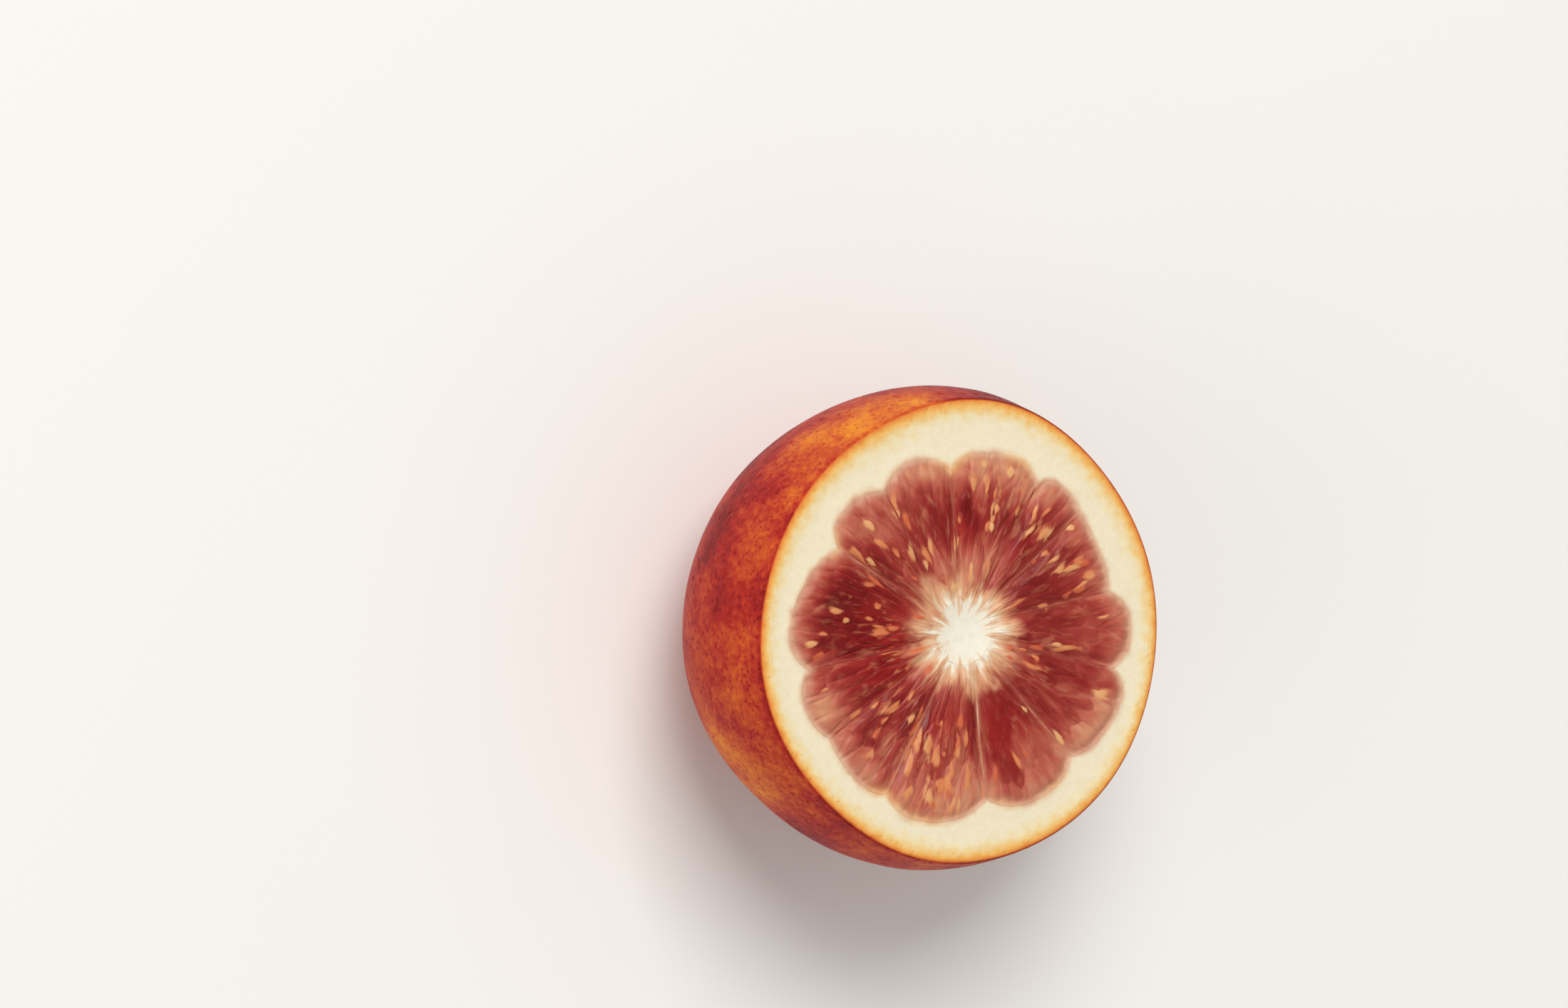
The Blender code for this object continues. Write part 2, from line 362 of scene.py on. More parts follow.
def oil_gland_tree():
    """Sink a pit over each oil gland, and let the skin roll softly between them."""
    tree, given = start_geometry_tree(
        "oil glands", ("Gland spacing", "Gland depth", "Roll length", "Roll depth", "Seed")
    )
    skin = add_node(tree, "GeometryNodeInputNamedAttribute", {"data_type": "FLOAT", "Name": "skin"})
    glands_a_metre = add_node(
        tree, "ShaderNodeMath", {"operation": "DIVIDE", "Value": 1.0}, {"Value_001": given["Gland spacing"]}
    )
    glands = add_node(
        tree, "ShaderNodeTexVoronoi", {"voronoi_dimensions": "4D", "feature": "F1"},
        {"W": given["Seed"], "Scale": glands_a_metre},
    )
    pits = add_node(
        tree,
        "ShaderNodeMapRange",
        {**SOFT_STEP, "From Min": 0.05, "From Max": 0.42, "To Min": 1.0, "To Max": 0.0},
        {"Value": glands.outputs["Distance"]},
    )
    rolls_a_metre = add_node(
        tree, "ShaderNodeMath", {"operation": "DIVIDE", "Value": 1.0}, {"Value_001": given["Roll length"]}
    )
    rolls = add_node(
        tree, "ShaderNodeTexNoise", {"noise_dimensions": "4D", "Detail": 1.0},
        {"W": given["Seed"], "Scale": rolls_a_metre},
    )
    pit_depth = add_node(
        tree, "ShaderNodeMath", {"operation": "MULTIPLY"},
        {"Value": pits, "Value_001": given["Gland depth"]},
    )
    sunk = add_node(
        tree, "ShaderNodeMath", {"operation": "MULTIPLY_ADD"},
        {"Value": rolls, "Value_001": given["Roll depth"], "Value_002": pit_depth},
    )
    sunk_skin = add_node(
        tree, "ShaderNodeMath", {"operation": "MULTIPLY"}, {"Value": sunk, "Value_001": skin}
    )
    inwards = add_node(
        tree, "ShaderNodeMath", {"operation": "MULTIPLY", "Value_001": -1.0}, {"Value": sunk_skin}
    )
    outwards = add_node(tree, "GeometryNodeInputNormal")
    offset = add_node(
        tree, "ShaderNodeVectorMath", {"operation": "SCALE"}, {"Vector": outwards, "Scale": inwards}
    )
    marked = add_node(
        tree, "GeometryNodeStoreNamedAttribute", {"data_type": "FLOAT", "domain": "POINT", "Name": "gland"},
        {"Geometry": given["Geometry"], "Value": pits},
    )
    moved = add_node(tree, "GeometryNodeSetPosition", {}, {"Geometry": marked, "Offset": offset})
    end_geometry_tree(tree, moved, given["Material"])
    return tree


# The cut edge of the peel, from the skin inwards to the white pith
CUT_EDGE_DEPTH = 4.0 * MM
SOAK_PATCH_SIZE = 1.6 * MM
CUT_EDGE_COLOURS = (
    (0.00, "b5442c"),
    (0.07, "d8702f"),
    (0.16, "e6984a"),
    (0.28, "edb664"),
    (0.45, "eecd8e"),
    (0.68, "efdcb0"),
    (1.00, "efe2c2"),
)

# The skin, from its most orange to its darkest crimson. Its clouds, freckles and pores are as wide as on
# a real blood orange
CLOUD_SIZE = 7.0 * MM
FRECKLE_SIZE = 1.1 * MM
PORE_SPACING = 1.0 * MM
# How much darker the skin is over each sunk gland pit
GLAND_PIT_DARKENING = 0.10
SKIN_COLOURS = (
    (0.00, "ea992a"),
    (0.25, "dd7928"),
    (0.50, "c44f27"),
    (0.72, "ac2b23"),
    (1.00, "7e1518"),
)


def start_material(name):
    """An empty material, and its tree of nodes."""
    material = bpy.data.materials.new(name)
    material.use_nodes = True
    material.node_tree.nodes.clear()
    return material, material.node_tree


def cut_edge_colour(tree, place):
    """The colour of the cut peel by its depth under the skin, uneven as the colour soaks in."""
    depth = add_node(tree, "ShaderNodeAttribute", {"attribute_name": "under_skin"})
    soak = add_node(
        tree, "ShaderNodeTexNoise", {"Scale": 1 / SOAK_PATCH_SIZE, "Detail": 3.0}, {"Vector": place}
    )
    share = add_node(
        tree, "ShaderNodeMath", {"operation": "DIVIDE", "Value_001": CUT_EDGE_DEPTH},
        {"Value": depth.outputs["Fac"]},
    )
    uneven = add_node(
        tree, "ShaderNodeMapRange", {**NOISE_RANGE, "To Min": 0.75, "To Max": 1.25}, {"Value": soak}
    )
    soaked = add_node(
        tree, "ShaderNodeMath", {"operation": "MULTIPLY"}, {"Value": share, "Value_001": uneven}
    )
    return add_node(tree, "ShaderNodeValToRGB", {"stops": CUT_EDGE_COLOURS}, {"Fac": soaked})


def rind_material():
    """Waxy orange peel: orange to crimson in soft clouds, darker over each gland pit and pore, with the
    painted shade and light that the skin's blush holds.
    """
    material, tree = start_material("waxy blood orange peel")
    place = add_node(tree, "ShaderNodeTexCoord").outputs["Object"]
    # The blush holds painted shade and painted light as well as the skin's own blush
    blush = add_node(tree, "ShaderNodeAttribute", {"attribute_name": "blush"}).outputs["Fac"]
    depth = add_node(tree, "ShaderNodeAttribute", {"attribute_name": "under_skin"}).outputs["Fac"]
    gland = add_node(tree, "ShaderNodeAttribute", {"attribute_name": "gland"}).outputs["Fac"]
    clouds = add_node(
        tree, "ShaderNodeTexNoise", {"Scale": 1 / CLOUD_SIZE, "Detail": 4.0, "Roughness": 0.6},
        {"Vector": place},
    )
    freckles = add_node(
        tree, "ShaderNodeTexNoise", {"Scale": 1 / FRECKLE_SIZE, "Detail": 3.0, "Roughness": 0.6},
        {"Vector": place},
    )
    clouded = add_node(
        tree, "ShaderNodeMapRange", {**NOISE_RANGE, "To Min": -0.20, "To Max": 0.20}, {"Value": clouds}
    )
    freckled = add_node(
        tree, "ShaderNodeMapRange", {"From Min": 0.35, "From Max": 0.65, "To Min": -0.10, "To Max": 0.12},
        {"Value": freckles},
    )
    flush = add_node(tree, "ShaderNodeMath", {"operation": "ADD"}, {"Value": blush, "Value_001": clouded})
    flush = add_node(tree, "ShaderNodeMath", {"operation": "ADD"}, {"Value": flush, "Value_001": freckled})
    # Darker over each sunk gland pit
    flush = add_node(
        tree, "ShaderNodeMath", {"operation": "MULTIPLY_ADD", "Value_001": GLAND_PIT_DARKENING},
        {"Value": gland, "Value_002": flush},
    )
    pores = add_node(
        tree, "ShaderNodeTexVoronoi", {"feature": "F1", "Scale": 1 / PORE_SPACING}, {"Vector": place}
    )
    open_pores = add_node(
        tree, "ShaderNodeMapRange", {**SOFT_STEP, "From Min": 0.05, "From Max": 0.36},
        {"Value": pores.outputs["Distance"]},
    )
    # Darker at the middle of each pore, where the bump sinks
    dotted = add_node(tree, "ShaderNodeMapRange", {"To Min": 0.20, "To Max": -0.02}, {"Value": open_pores})
    flush = add_node(tree, "ShaderNodeMath", {"operation": "ADD"}, {"Value": flush, "Value_001": dotted})
    skin_colour = add_node(tree, "ShaderNodeValToRGB", {"stops": SKIN_COLOURS}, {"Fac": flush})
    past_skin = add_node(
        tree, "ShaderNodeMapRange", {**SOFT_STEP, "From Min": 0.1 * MM, "From Max": 0.45 * MM},
        {"Value": depth},
    )
    cut_colour = cut_edge_colour(tree, place)
    colour = add_node(
        tree, "ShaderNodeMix", {"data_type": "RGBA"},
        {"Factor_Float": past_skin, "A_Color": skin_colour, "B_Color": cut_colour},
    )
    roughness = add_node(tree, "ShaderNodeMapRange", {"To Min": 0.42, "To Max": 0.62}, {"Value": past_skin})
    pitted = add_node(
        tree, "ShaderNodeBump", {"Strength": 0.8, "Distance": 0.10 * MM}, {"Height": open_pores}
    )
    shader = add_node(
        tree, "ShaderNodeBsdfPrincipled", {"IOR": 1.45, "Specular IOR Level": 0.05},
        {"Base Color": colour, "Roughness": roughness, "Normal": pitted},
    )
    add_node(tree, "ShaderNodeOutputMaterial", {}, {"Surface": shader})
    return material


# The pits are a little coarser than real ones, so that they show
rind = add_piece(rind_mesh())
grow(
    rind,
    oil_gland_tree(),
    {
        "Gland spacing": 1.7 * MM,
        "Gland depth": 0.18 * MM,
        "Roll length": 9.0 * MM,
        "Roll depth": 0.25 * MM,
        "Seed": 3.0,
        "Material": rind_material(),
    },
)
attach(rind, "root")
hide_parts("blood_orange_half")

# The pith
# The thick white layer between the rind and the flesh, spongy and dry to the eye. It holds the flesh
# in a bowl whose edge is scalloped by the twelve segments, and juice has stained it pink there.

# For each segment: degrees round, reach at its first notch and at its crest, and the crest's place
FIRST_MEMBRANE = 17.0
SEGMENTS = (
    (28.0, 25.9 * MM, 26.6 * MM, 0.65),
    (19.0, 26.6 * MM, 27.5 * MM, 0.55),
    (35.5, 25.6 * MM, 27.3 * MM, 0.48),
    (27.5, 24.4 * MM, 27.1 * MM, 0.50),
    (26.5, 25.3 * MM, 27.6 * MM, 0.66),
    (41.5, 24.9 * MM, 29.5 * MM, 0.70),
    (23.0, 26.8 * MM, 28.8 * MM, 0.42),
    (27.5, 27.3 * MM, 28.0 * MM, 0.70),
    (38.5, 27.0 * MM, 28.7 * MM, 0.35),
    (35.0, 25.5 * MM, 28.4 * MM, 0.55),
    (32.5, 26.9 * MM, 29.7 * MM, 0.72),
    (25.5, 27.1 * MM, 29.3 * MM, 0.55),
)
LOBE_SQUARENESS = 2.4
FLESH_RADIUS = 27.5 * MM
FLESH_BALL_RADIUS = math.hypot(FLESH_RADIUS, CUT_ABOVE_BULGE)
LIP_WIDTH = 0.3 * MM
LIP_DROP = 0.14 * MM
LIP_RISE = 1.0 * MM
PITH_GRAIN = 0.9 * MM
PITH_ROWS = 14
PITH_ROW_CROWDING = 1.4
PITH_SAG = 0.12 * MM
BOWL_ROWS = 14
PITH_BOWL_START = 1.0 * MM
FLESH_BOWL_START = 1.2 * MM
BOWL_FLOOR_ANGLE = math.radians(-84.0)

MEMBRANE_STARTS = FIRST_MEMBRANE + np.cumsum([0.0] + [segment[0] for segment in SEGMENTS[:-1]])


def flesh_reach(number, across):
    """How far the flesh reaches from the centre: a round lobe between the notches at two membranes."""
    _, first_notch, crest, crest_place = SEGMENTS[number]
    last_notch = SEGMENTS[(number + 1) % len(SEGMENTS)][1]
    between = first_notch + (last_notch - first_notch) * across
    between_at_crest = first_notch + (last_notch - first_notch) * crest_place
    side = np.where(across < crest_place, crest_place, 1 - crest_place)
    lobe = 1 - (np.abs(across - crest_place) / side) ** LOBE_SQUARENESS
    return between + (crest - between_at_crest) * lobe


def reach_at_angle(angle):
    """The reach of the flesh at one angle in radians."""
    degrees = (math.degrees(angle) - FIRST_MEMBRANE) % 360 + FIRST_MEMBRANE
    number = int(np.searchsorted(MEMBRANE_STARTS, degrees, side="right")) - 1
    across = (degrees - MEMBRANE_STARTS[number]) / SEGMENTS[number][0]
    return float(flesh_reach(number, across))


def bowl_place(points, angle_up):
    """Where points of the cut face go further down the bowl that holds the flesh."""
    nearer = FLESH_BALL_RADIUS * math.cos(angle_up) / FLESH_RADIUS
    height = BULGE_HEIGHT + FLESH_BALL_RADIUS * math.sin(angle_up)
    return np.column_stack((points[:, :2] * nearer, np.full(len(points), height)))


def bowl_angles(first_depth):
    """Steps down the bowl, as angles above the bulge, starting at a depth under the cut."""
    top = math.asin((CUT_ABOVE_BULGE - first_depth) / FLESH_BALL_RADIUS)
    return np.linspace(top, BOWL_FLOOR_ANGLE, BOWL_ROWS)


def pith_mesh():
    """The pith: up the bowl, over the lip and the cut, and down the wall behind the rind."""
    reach = np.array([reach_at_angle(angle) for angle in PEEL_ANGLES])
    around = np.column_stack((np.cos(PEEL_ANGLES), np.sin(PEEL_ANGLES)))
    lip = np.column_stack((around * (reach - LIP_WIDTH)[:, None], np.zeros(PEEL_COLUMNS)))
    rings = [bowl_place(lip, angle_up) for angle_up in bowl_angles(PITH_BOWL_START)[::-1]]
    inner_edge = peel_ring(SKIN_EDGE_RADIUS - RIND_THICKNESS, CUT_HEIGHT)
    edge_radius = np.hypot(inner_edge[:, 0], inner_edge[:, 1])
    for share in np.linspace(0.0, 1.0, PITH_ROWS) ** PITH_ROW_CROWDING:
        radius = reach - LIP_WIDTH + (edge_radius - reach + LIP_WIDTH) * share
        drop = LIP_DROP * np.exp(-np.maximum(radius - reach + LIP_WIDTH, 0) / (LIP_RISE / 2))
        sag = PITH_SAG * math.sin(math.pi * share)
        height = CUT_HEIGHT - drop * (1 - share) - sag
        rings.append(np.column_stack((around * radius[:, None], height)))
    rings += hidden_wall(RIND_THICKNESS)[::-1]
    mesh = closed_mesh("pith", rings)
    points = points_of(mesh)
    radius = np.hypot(points[:, 0], points[:, 1])
    angles = np.arctan2(points[:, 1], points[:, 0])
    reach = np.array([reach_at_angle(angle) for angle in angles])
    note_on_points(mesh, "under_skin", depth_under_skin(points))
    note_on_points(mesh, "past_flesh", radius - reach)
    note_golden_soak(mesh)
    return mesh


NEAR_STREAKS_RADIUS = 9.0 * MM
FAR_STREAKS_RADIUS = 20.0 * MM
STREAKS_CHANGEOVER = 5.0 * MM


def outward_streaks(tree, width, length):
    """Noise drawn out along lines from the core. A coarser one takes over near the core."""
    place = add_node(tree, "ShaderNodeTexCoord").outputs["Object"]
    level = add_node(
        tree, "ShaderNodeVectorMath", {"operation": "MULTIPLY", "Vector_001": (1.0, 1.0, 0.0)},
        {"Vector": place},
    )
    direction = add_node(tree, "ShaderNodeVectorMath", {"operation": "NORMALIZE"}, {"Vector": level})
    distance = add_node(tree, "ShaderNodeVectorMath", {"operation": "LENGTH"}, {"Vector": level})
    lengths = add_node(
        tree, "ShaderNodeMath", {"operation": "DIVIDE", "Value_001": length}, {"Value": distance}
    )
    outwards = add_node(tree, "ShaderNodeCombineXYZ", {}, {"Z": lengths})
    streaks = []
    for radius in (NEAR_STREAKS_RADIUS, FAR_STREAKS_RADIUS):
        drawn_out = add_node(
            tree,
            "ShaderNodeVectorMath",
            {"operation": "MULTIPLY_ADD", "Vector_001": (radius / width,) * 3},
            {"Vector": direction, "Vector_002": outwards},
        )
        noise = {"Scale": 1.0, "Detail": 2.0, "Roughness": 0.5, "Distortion": 0.5}
        streaks.append(add_node(tree, "ShaderNodeTexNoise", noise, {"Vector": drawn_out}))
    far_from = NEAR_STREAKS_RADIUS + STREAKS_CHANGEOVER
    far_share = add_node(
        tree, "ShaderNodeMapRange", {**SOFT_STEP, "From Min": NEAR_STREAKS_RADIUS, "From Max": far_from},
        {"Value": distance},
    )
    return add_node(
        tree, "ShaderNodeMix", {"data_type": "FLOAT"},
        {"Factor_Float": far_share, "A_Float": streaks[0], "B_Float": streaks[1]},
    )


# Where juice has soaked from the flesh into the pith, from the flesh outwards
SOAKED_INSIDE = 2.1 * MM
SOAKED_OUTSIDE = 1.2 * MM
FLESH_END = 0.0
SOAKED_MIDDLE = 0.55
PITH_END = 1.0
SOAKED_COLOURS = (
    (0.00, "b26450"),
    (0.35, "c4826a"),
    (0.60, "d8a88a"),
    (0.80, "e6c6a2"),
    (1.00, "ecd7b0"),
)
GOLDEN_SOAKED_COLOURS = (
    (0.00, "b8604a"),
    (0.35, "d18c5c"),
    (0.60, "e6b27c"),
    (0.80, "ecc898"),
    (1.00, "efdcb4"),
)

# Where the soaked edge is golden: angle, radius and spread in millimetres, and strength
GOLDEN_SOAKED_PATCHES = (
    (98.0, 25.0, 3.2, 1.0),
    (73.0, 28.0, 3.2, 0.9),
    (152.0, 25.0, 2.5, 0.5),
    (245.0, 27.0, 3.5, 0.9),
    (262.0, 29.0, 4.0, 0.7),
    (290.0, 27.5, 3.0, 0.5),
    (310.0, 28.5, 3.0, 0.5),
)


def patch_sum(angle, radius, patches):
    """The sum of soft round patches on the cut face, each at its angle and radius."""
    x, y = radius * np.cos(angle), radius * np.sin(angle)
    total = np.zeros(np.shape(x))
    for patch_angle, patch_radius, spread, strength in patches:
        around, out = math.radians(patch_angle), patch_radius * MM
        away = (x - out * math.cos(around)) ** 2 + (y - out * math.sin(around)) ** 2
        total += strength * np.exp(-away / (spread * MM) ** 2)
    return total


def note_golden_soak(mesh):
    """Keep for each point how golden the soaked edge of the flesh is there."""
    points = points_of(mesh)
    angles = np.arctan2(points[:, 1], points[:, 0])
    golden = patch_sum(angles, np.hypot(points[:, 0], points[:, 1]), GOLDEN_SOAKED_PATCHES)
    note_on_points(mesh, "golden_soak", np.clip(golden, 0, 1))


def soaked_edge(tree, own_colour, own_end):
    """Run a piece's own colour, from its end of the soaked edge, into the colours of that edge."""
    past_flesh = add_node(tree, "ShaderNodeAttribute", {"attribute_name": "past_flesh"})
    golden = add_node(tree, "ShaderNodeAttribute", {"attribute_name": "golden_soak"})
    feathers = add_node(
        tree, "ShaderNodeMapRange", {**NOISE_RANGE, "To Min": -0.35 * MM, "To Max": 0.35 * MM},
        {"Value": outward_streaks(tree, width=2.6 * MM, length=3.0 * MM)},
    )
    feathered = add_node(
        tree, "ShaderNodeMath", {"operation": "ADD"},
        {"Value": past_flesh.outputs["Fac"], "Value_001": feathers},
    )
    soaked = add_node(
        tree, "ShaderNodeMapRange", {"From Min": -SOAKED_INSIDE, "From Max": SOAKED_OUTSIDE},
        {"Value": feathered},
    )
    pink, gold = (
        add_node(tree, "ShaderNodeValToRGB", {"stops": colours}, {"Fac": soaked})
        for colours in (SOAKED_COLOURS, GOLDEN_SOAKED_COLOURS)
    )
    stain = add_node(
        tree, "ShaderNodeMix", {"data_type": "RGBA"},
        {"Factor_Float": golden.outputs["Fac"], "A_Color": pink, "B_Color": gold},
    )
    share = add_node(
        tree, "ShaderNodeMapRange", {**SOFT_STEP, "From Min": own_end, "From Max": SOAKED_MIDDLE},
        {"Value": soaked},
    )
    return add_node(
        tree, "ShaderNodeMix", {"data_type": "RGBA"},
        {"Factor_Float": share, "A_Color": own_colour, "B_Color": stain},
    )


def pith_material():
    """Dry, spongy white pith: cream, with a fine uneven grain and a pink stain next to the flesh."""
    material, tree = start_material("spongy orange pith")
    place = add_node(tree, "ShaderNodeTexCoord").outputs["Object"]
    sponge = add_node(
        tree, "ShaderNodeTexNoise", {"Scale": 1 / PITH_GRAIN, "Detail": 4.0, "Roughness": 0.65},
        {"Vector": place},
    )
    grained = add_node(
        tree, "ShaderNodeMapRange", {**NOISE_RANGE, "To Min": 0.95, "To Max": 1.02}, {"Value": sponge}
    )
    stained = soaked_edge(tree, cut_edge_colour(tree, place), PITH_END)
    colour = add_node(
        tree, "ShaderNodeVectorMath", {"operation": "SCALE"}, {"Vector": stained, "Scale": grained}
    )
    bump = add_node(tree, "ShaderNodeBump", {"Strength": 0.35, "Distance": 0.15 * MM}, {"Height": sponge})
    shader = add_node(
        tree, "ShaderNodeBsdfPrincipled", {"IOR": 1.4, "Roughness": 0.7, "Specular IOR Level": 0.3},
        {"Base Color": colour, "Normal": bump},
    )
    add_node(tree, "ShaderNodeOutputMaterial", {}, {"Surface": shader})
    return material


pith = add_piece(pith_mesh())
pith.data.materials.append(pith_material())
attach(pith, "root")

# The core
# The white column of pith in the middle, where the membranes meet. It is spongy, and it dries and
# sinks a little once the fruit is cut.

CORE_RADIUS = 4.8 * MM
CORE_DIP = 0.60 * MM
CORE_ROUGHNESS = 0.05 * MM
CORE_WAVES = ((3, 9), (5, -14))
CORE_GRAIN = 1.2 * MM
CORE_COLUMNS = 96
CORE_ROWS = 14

# The pale middle glows out into the flesh. It is off the centre, and reaches less far at some angles
# and further at others: angle, spread and share
PALE_CENTRE = np.array((0.8 * MM, -0.5 * MM))
PALE_RADIUS = 3.8 * MM
GLOW_END = 12.2 * MM
GLOW_STRETCHES = (
    (35.0, 25.0, 0.22),
    (66.0, 20.0, 0.26),
    (135.0, 25.0, -0.12),
    (210.0, 18.0, -0.06),
    (252.0, 20.0, 0.22),
    (300.0, 24.0, 0.34),
)
GLOW_COLOURS = (
    (0.00, "b05a48"),
    (0.30, "c2775a"),
    (0.58, "d9a27a"),
    (0.80, "e6c6a4"),
    (0.94, "efe6d2"),
)
WHITE_RADIUS = 2.6 * MM
CORE_COLOURS = ((0.30, "e9e0c9"), (0.55, "efe9d6"), (0.80, "f3efe1"))


def from_pale_middle(points):
    """How far points lie from the pale middle, counted as further where its glow is shorter."""
    away = points[:, :2] - PALE_CENTRE
    distance = np.hypot(away[:, 0], away[:, 1])
    stretch = stretch_at(np.arctan2(away[:, 1], away[:, 0]), GLOW_STRETCHES)
    return PALE_RADIUS + (distance - PALE_RADIUS) * np.where(distance > PALE_RADIUS, stretch, 1)


def core_mesh():
    """The core: its sunken face from the middle outwards, and the side down to the pith."""
    angles = np.linspace(0.0, math.tau, CORE_COLUMNS, endpoint=False)
    around = np.column_stack((np.cos(angles), np.sin(angles)))
    rings = []
    for share in np.linspace(0.0, 1.0, CORE_ROWS + 1)[1:]:
        waves = sum(np.sin(turns * angles + twist * share) for turns, twist in CORE_WAVES)
        rough = CORE_ROUGHNESS * share * (1 - share) * waves
        height = CUT_HEIGHT - CORE_DIP * (1 - share**2) + rough
        rings.append(np.column_stack((around * CORE_RADIUS * share, height)))
    outline = rings[-1]
    rings += [bowl_place(outline, angle_up) for angle_up in bowl_angles(FLESH_BOWL_START)]
    mesh = closed_mesh("core", rings)
    note_on_points(mesh, "from_pale", from_pale_middle(points_of(mesh)))
    return mesh


def glow_over(tree, colour):
    """Lay the glow round the core over a colour: cream at the core, then peach, in rays."""
    distance = add_node(tree, "ShaderNodeAttribute", {"attribute_name": "from_pale"})
    nearness = add_node(
        tree,
        "ShaderNodeMapRange",
        {"From Min": PALE_RADIUS, "From Max": GLOW_END, "To Min": 1.0, "To Max": 0.0},
        {"Value": distance.outputs["Fac"]},
    )
    streaked = add_node(
        tree, "ShaderNodeMapRange", {**NOISE_RANGE, "To Min": -0.26, "To Max": 0.26},
        {"Value": outward_streaks(tree, width=1.7 * MM, length=4.5 * MM)},
    )
    rays = add_node(
        tree, "ShaderNodeMath", {"operation": "ADD"}, {"Value": streaked, "Value_001": nearness}
    )
    glow = add_node(tree, "ShaderNodeValToRGB", {"stops": GLOW_COLOURS}, {"Fac": rays})
    strength = add_node(
        tree, "ShaderNodeMapRange", {**SOFT_STEP, "From Min": 0.02, "From Max": 0.50}, {"Value": rays}
    )
    return add_node(
        tree, "ShaderNodeMix", {"data_type": "RGBA"},
        {"Factor_Float": strength, "A_Color": colour, "B_Color": glow},
    )


def core_material():
    """White central pith: softer and more open than the pith under the rind."""
    material, tree = start_material("open white core pith")
    place = add_node(tree, "ShaderNodeTexCoord").outputs["Object"]
    sponge = add_node(
        tree, "ShaderNodeTexNoise", {"Scale": 1 / CORE_GRAIN, "Detail": 5.0, "Roughness": 0.7},
        {"Vector": place},
    )
    white = add_node(tree, "ShaderNodeValToRGB", {"stops": CORE_COLOURS}, {"Fac": sponge})
    middle = add_node(tree, "ShaderNodeAttribute", {"attribute_name": "from_pale"})
    white_share = add_node(
        tree,
        "ShaderNodeMapRange",
        {**SOFT_STEP, "From Min": WHITE_RADIUS, "From Max": PALE_RADIUS, "To Min": 1.0, "To Max": 0.0},
        {"Value": middle.outputs["Fac"]},
    )
    glowing = glow_over(tree, white)
    colour = add_node(
        tree, "ShaderNodeMix", {"data_type": "RGBA"},
        {"Factor_Float": white_share, "A_Color": glowing, "B_Color": white},
    )
    bump = add_node(tree, "ShaderNodeBump", {"Strength": 0.2, "Distance": 0.15 * MM}, {"Height": sponge})
    shader = add_node(
        tree, "ShaderNodeBsdfPrincipled", {"IOR": 1.4, "Roughness": 0.75, "Specular IOR Level": 0.3},
        {"Base Color": colour, "Normal": bump},
    )
    add_node(tree, "ShaderNodeOutputMaterial", {}, {"Surface": shader})
    return material


core = add_piece(core_mesh())
core.data.materials.append(core_material())
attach(core, "root")

# The membranes
# Twelve thin walls of pale skin that part the segments and meet at the core, where they thicken into
# a star. The cut leaves their edges a little proud of the furrows between the segments.

# For each membrane: how far it leans round at the core, and how pale it is at the core and at the pith
MEMBRANES = (
    (8.0, 0.20, 0.30),
    (0.0, 0.35, 0.30),
    (0.0, 0.05, 0.15),
    (0.0, 0.05, 0.40),
    (8.0, 0.05, 0.25),
    (-2.0, 0.05, 0.75),
    (3.0, 0.05, 0.20),
    (-3.0, 0.05, 0.25),
    (3.0, 0.15, 0.85),
    (18.0, 1.00, 0.60),
    (8.0, 0.05, 0.80),
    (-2.0, 0.10, 0.20),
)
LEAN_LENGTH = 4.0 * MM
MEMBRANE_HALF_THICKNESS = 0.14 * MM
MEMBRANE_FLARE = 0.35 * MM
FLARE_LENGTH = 1.6 * MM
MEMBRANE_PROUD = 0.05 * MM
MEMBRANE_ROWS = 90
MEMBRANE_COLUMNS = 7
END_DROP = 0.25 * MM
END_DROP_LENGTH = 0.4 * MM
EDGE_ROUNDING = 1.4 * MM
FURROW_DEPTH = 0.20 * MM
INTO_CORE = 0.9 * MM
INTO_PITH = 0.4 * MM
STAIN_SIZE = 2.5 * MM
MEMBRANE_COLOURS = ((0.00, "8f302b"), (0.35, "a8503f"), (0.70, "c48264"), (1.00, "d8aa8e"))


def membrane_angle(number, radius):
    """Where a membrane runs at a radius, in radians: straight out, but leaning round at the core."""
    lean = MEMBRANES[number % len(MEMBRANES)][0] * np.exp(-(radius - CORE_RADIUS) / LEAN_LENGTH)
    turns = 360.0 * (number // len(MEMBRANES))
    return np.radians(MEMBRANE_STARTS[number % len(MEMBRANES)] + turns + lean)


def membrane_paleness(number, radius):
    """How pale a membrane is at a radius: 0 for juice red, 1 for pale pink."""
    _, at_core, at_pith = MEMBRANES[number % len(MEMBRANES)]
    share = np.clip((radius - CORE_RADIUS) / (FLESH_RADIUS - CORE_RADIUS), 0, 1)
    return at_core + (at_pith - at_core) * share


def membrane_half(radius):
    """Half of a membrane's thickness at a radius."""
    return MEMBRANE_HALF_THICKNESS + MEMBRANE_FLARE * np.exp(-(radius - CORE_RADIUS) / FLARE_LENGTH)


def relief_share(to_edge):
    """How much of its relief the flesh has at a distance from its edge, where it starts flat."""
    return 1 - np.exp(-((to_edge / EDGE_ROUNDING) ** 2))


def lobe_mesh(name, grid):
    """A closed wedge of the bowl under a grid of points, rows from the core outwards."""
    rows, columns = grid.shape[:2]
    points = [grid.reshape(-1, 3)]
    index = np.arange(rows * columns).reshape(rows, columns)
    faces = [
        (index[r, c], index[r + 1, c], index[r + 1, c + 1], index[r, c + 1])
        for r in range(rows - 1)
        for c in range(columns - 1)
    ]
    border = [*index[0, ::-1], *index[1:, 0], *index[-1, 1:], *index[-2:0:-1, -1]]
    outline = points[0][border]
    sides = list(zip(range(len(border)), [*range(1, len(border)), 0]))
    above = border
    used = rows * columns
    for angle_up in bowl_angles(FLESH_BOWL_START):
        points.append(bowl_place(outline, angle_up))
        below = list(range(used, used + len(border)))
        used += len(border)
        faces += [(above[here], below[here], below[after], above[after]) for here, after in sides]
        above = below
    points.append(points[-1].mean(0)[None])
    faces += [(above[here], used, above[after]) for here, after in sides]
    return smooth_mesh(name, np.vstack(points), [tuple(map(int, face)) for face in faces])


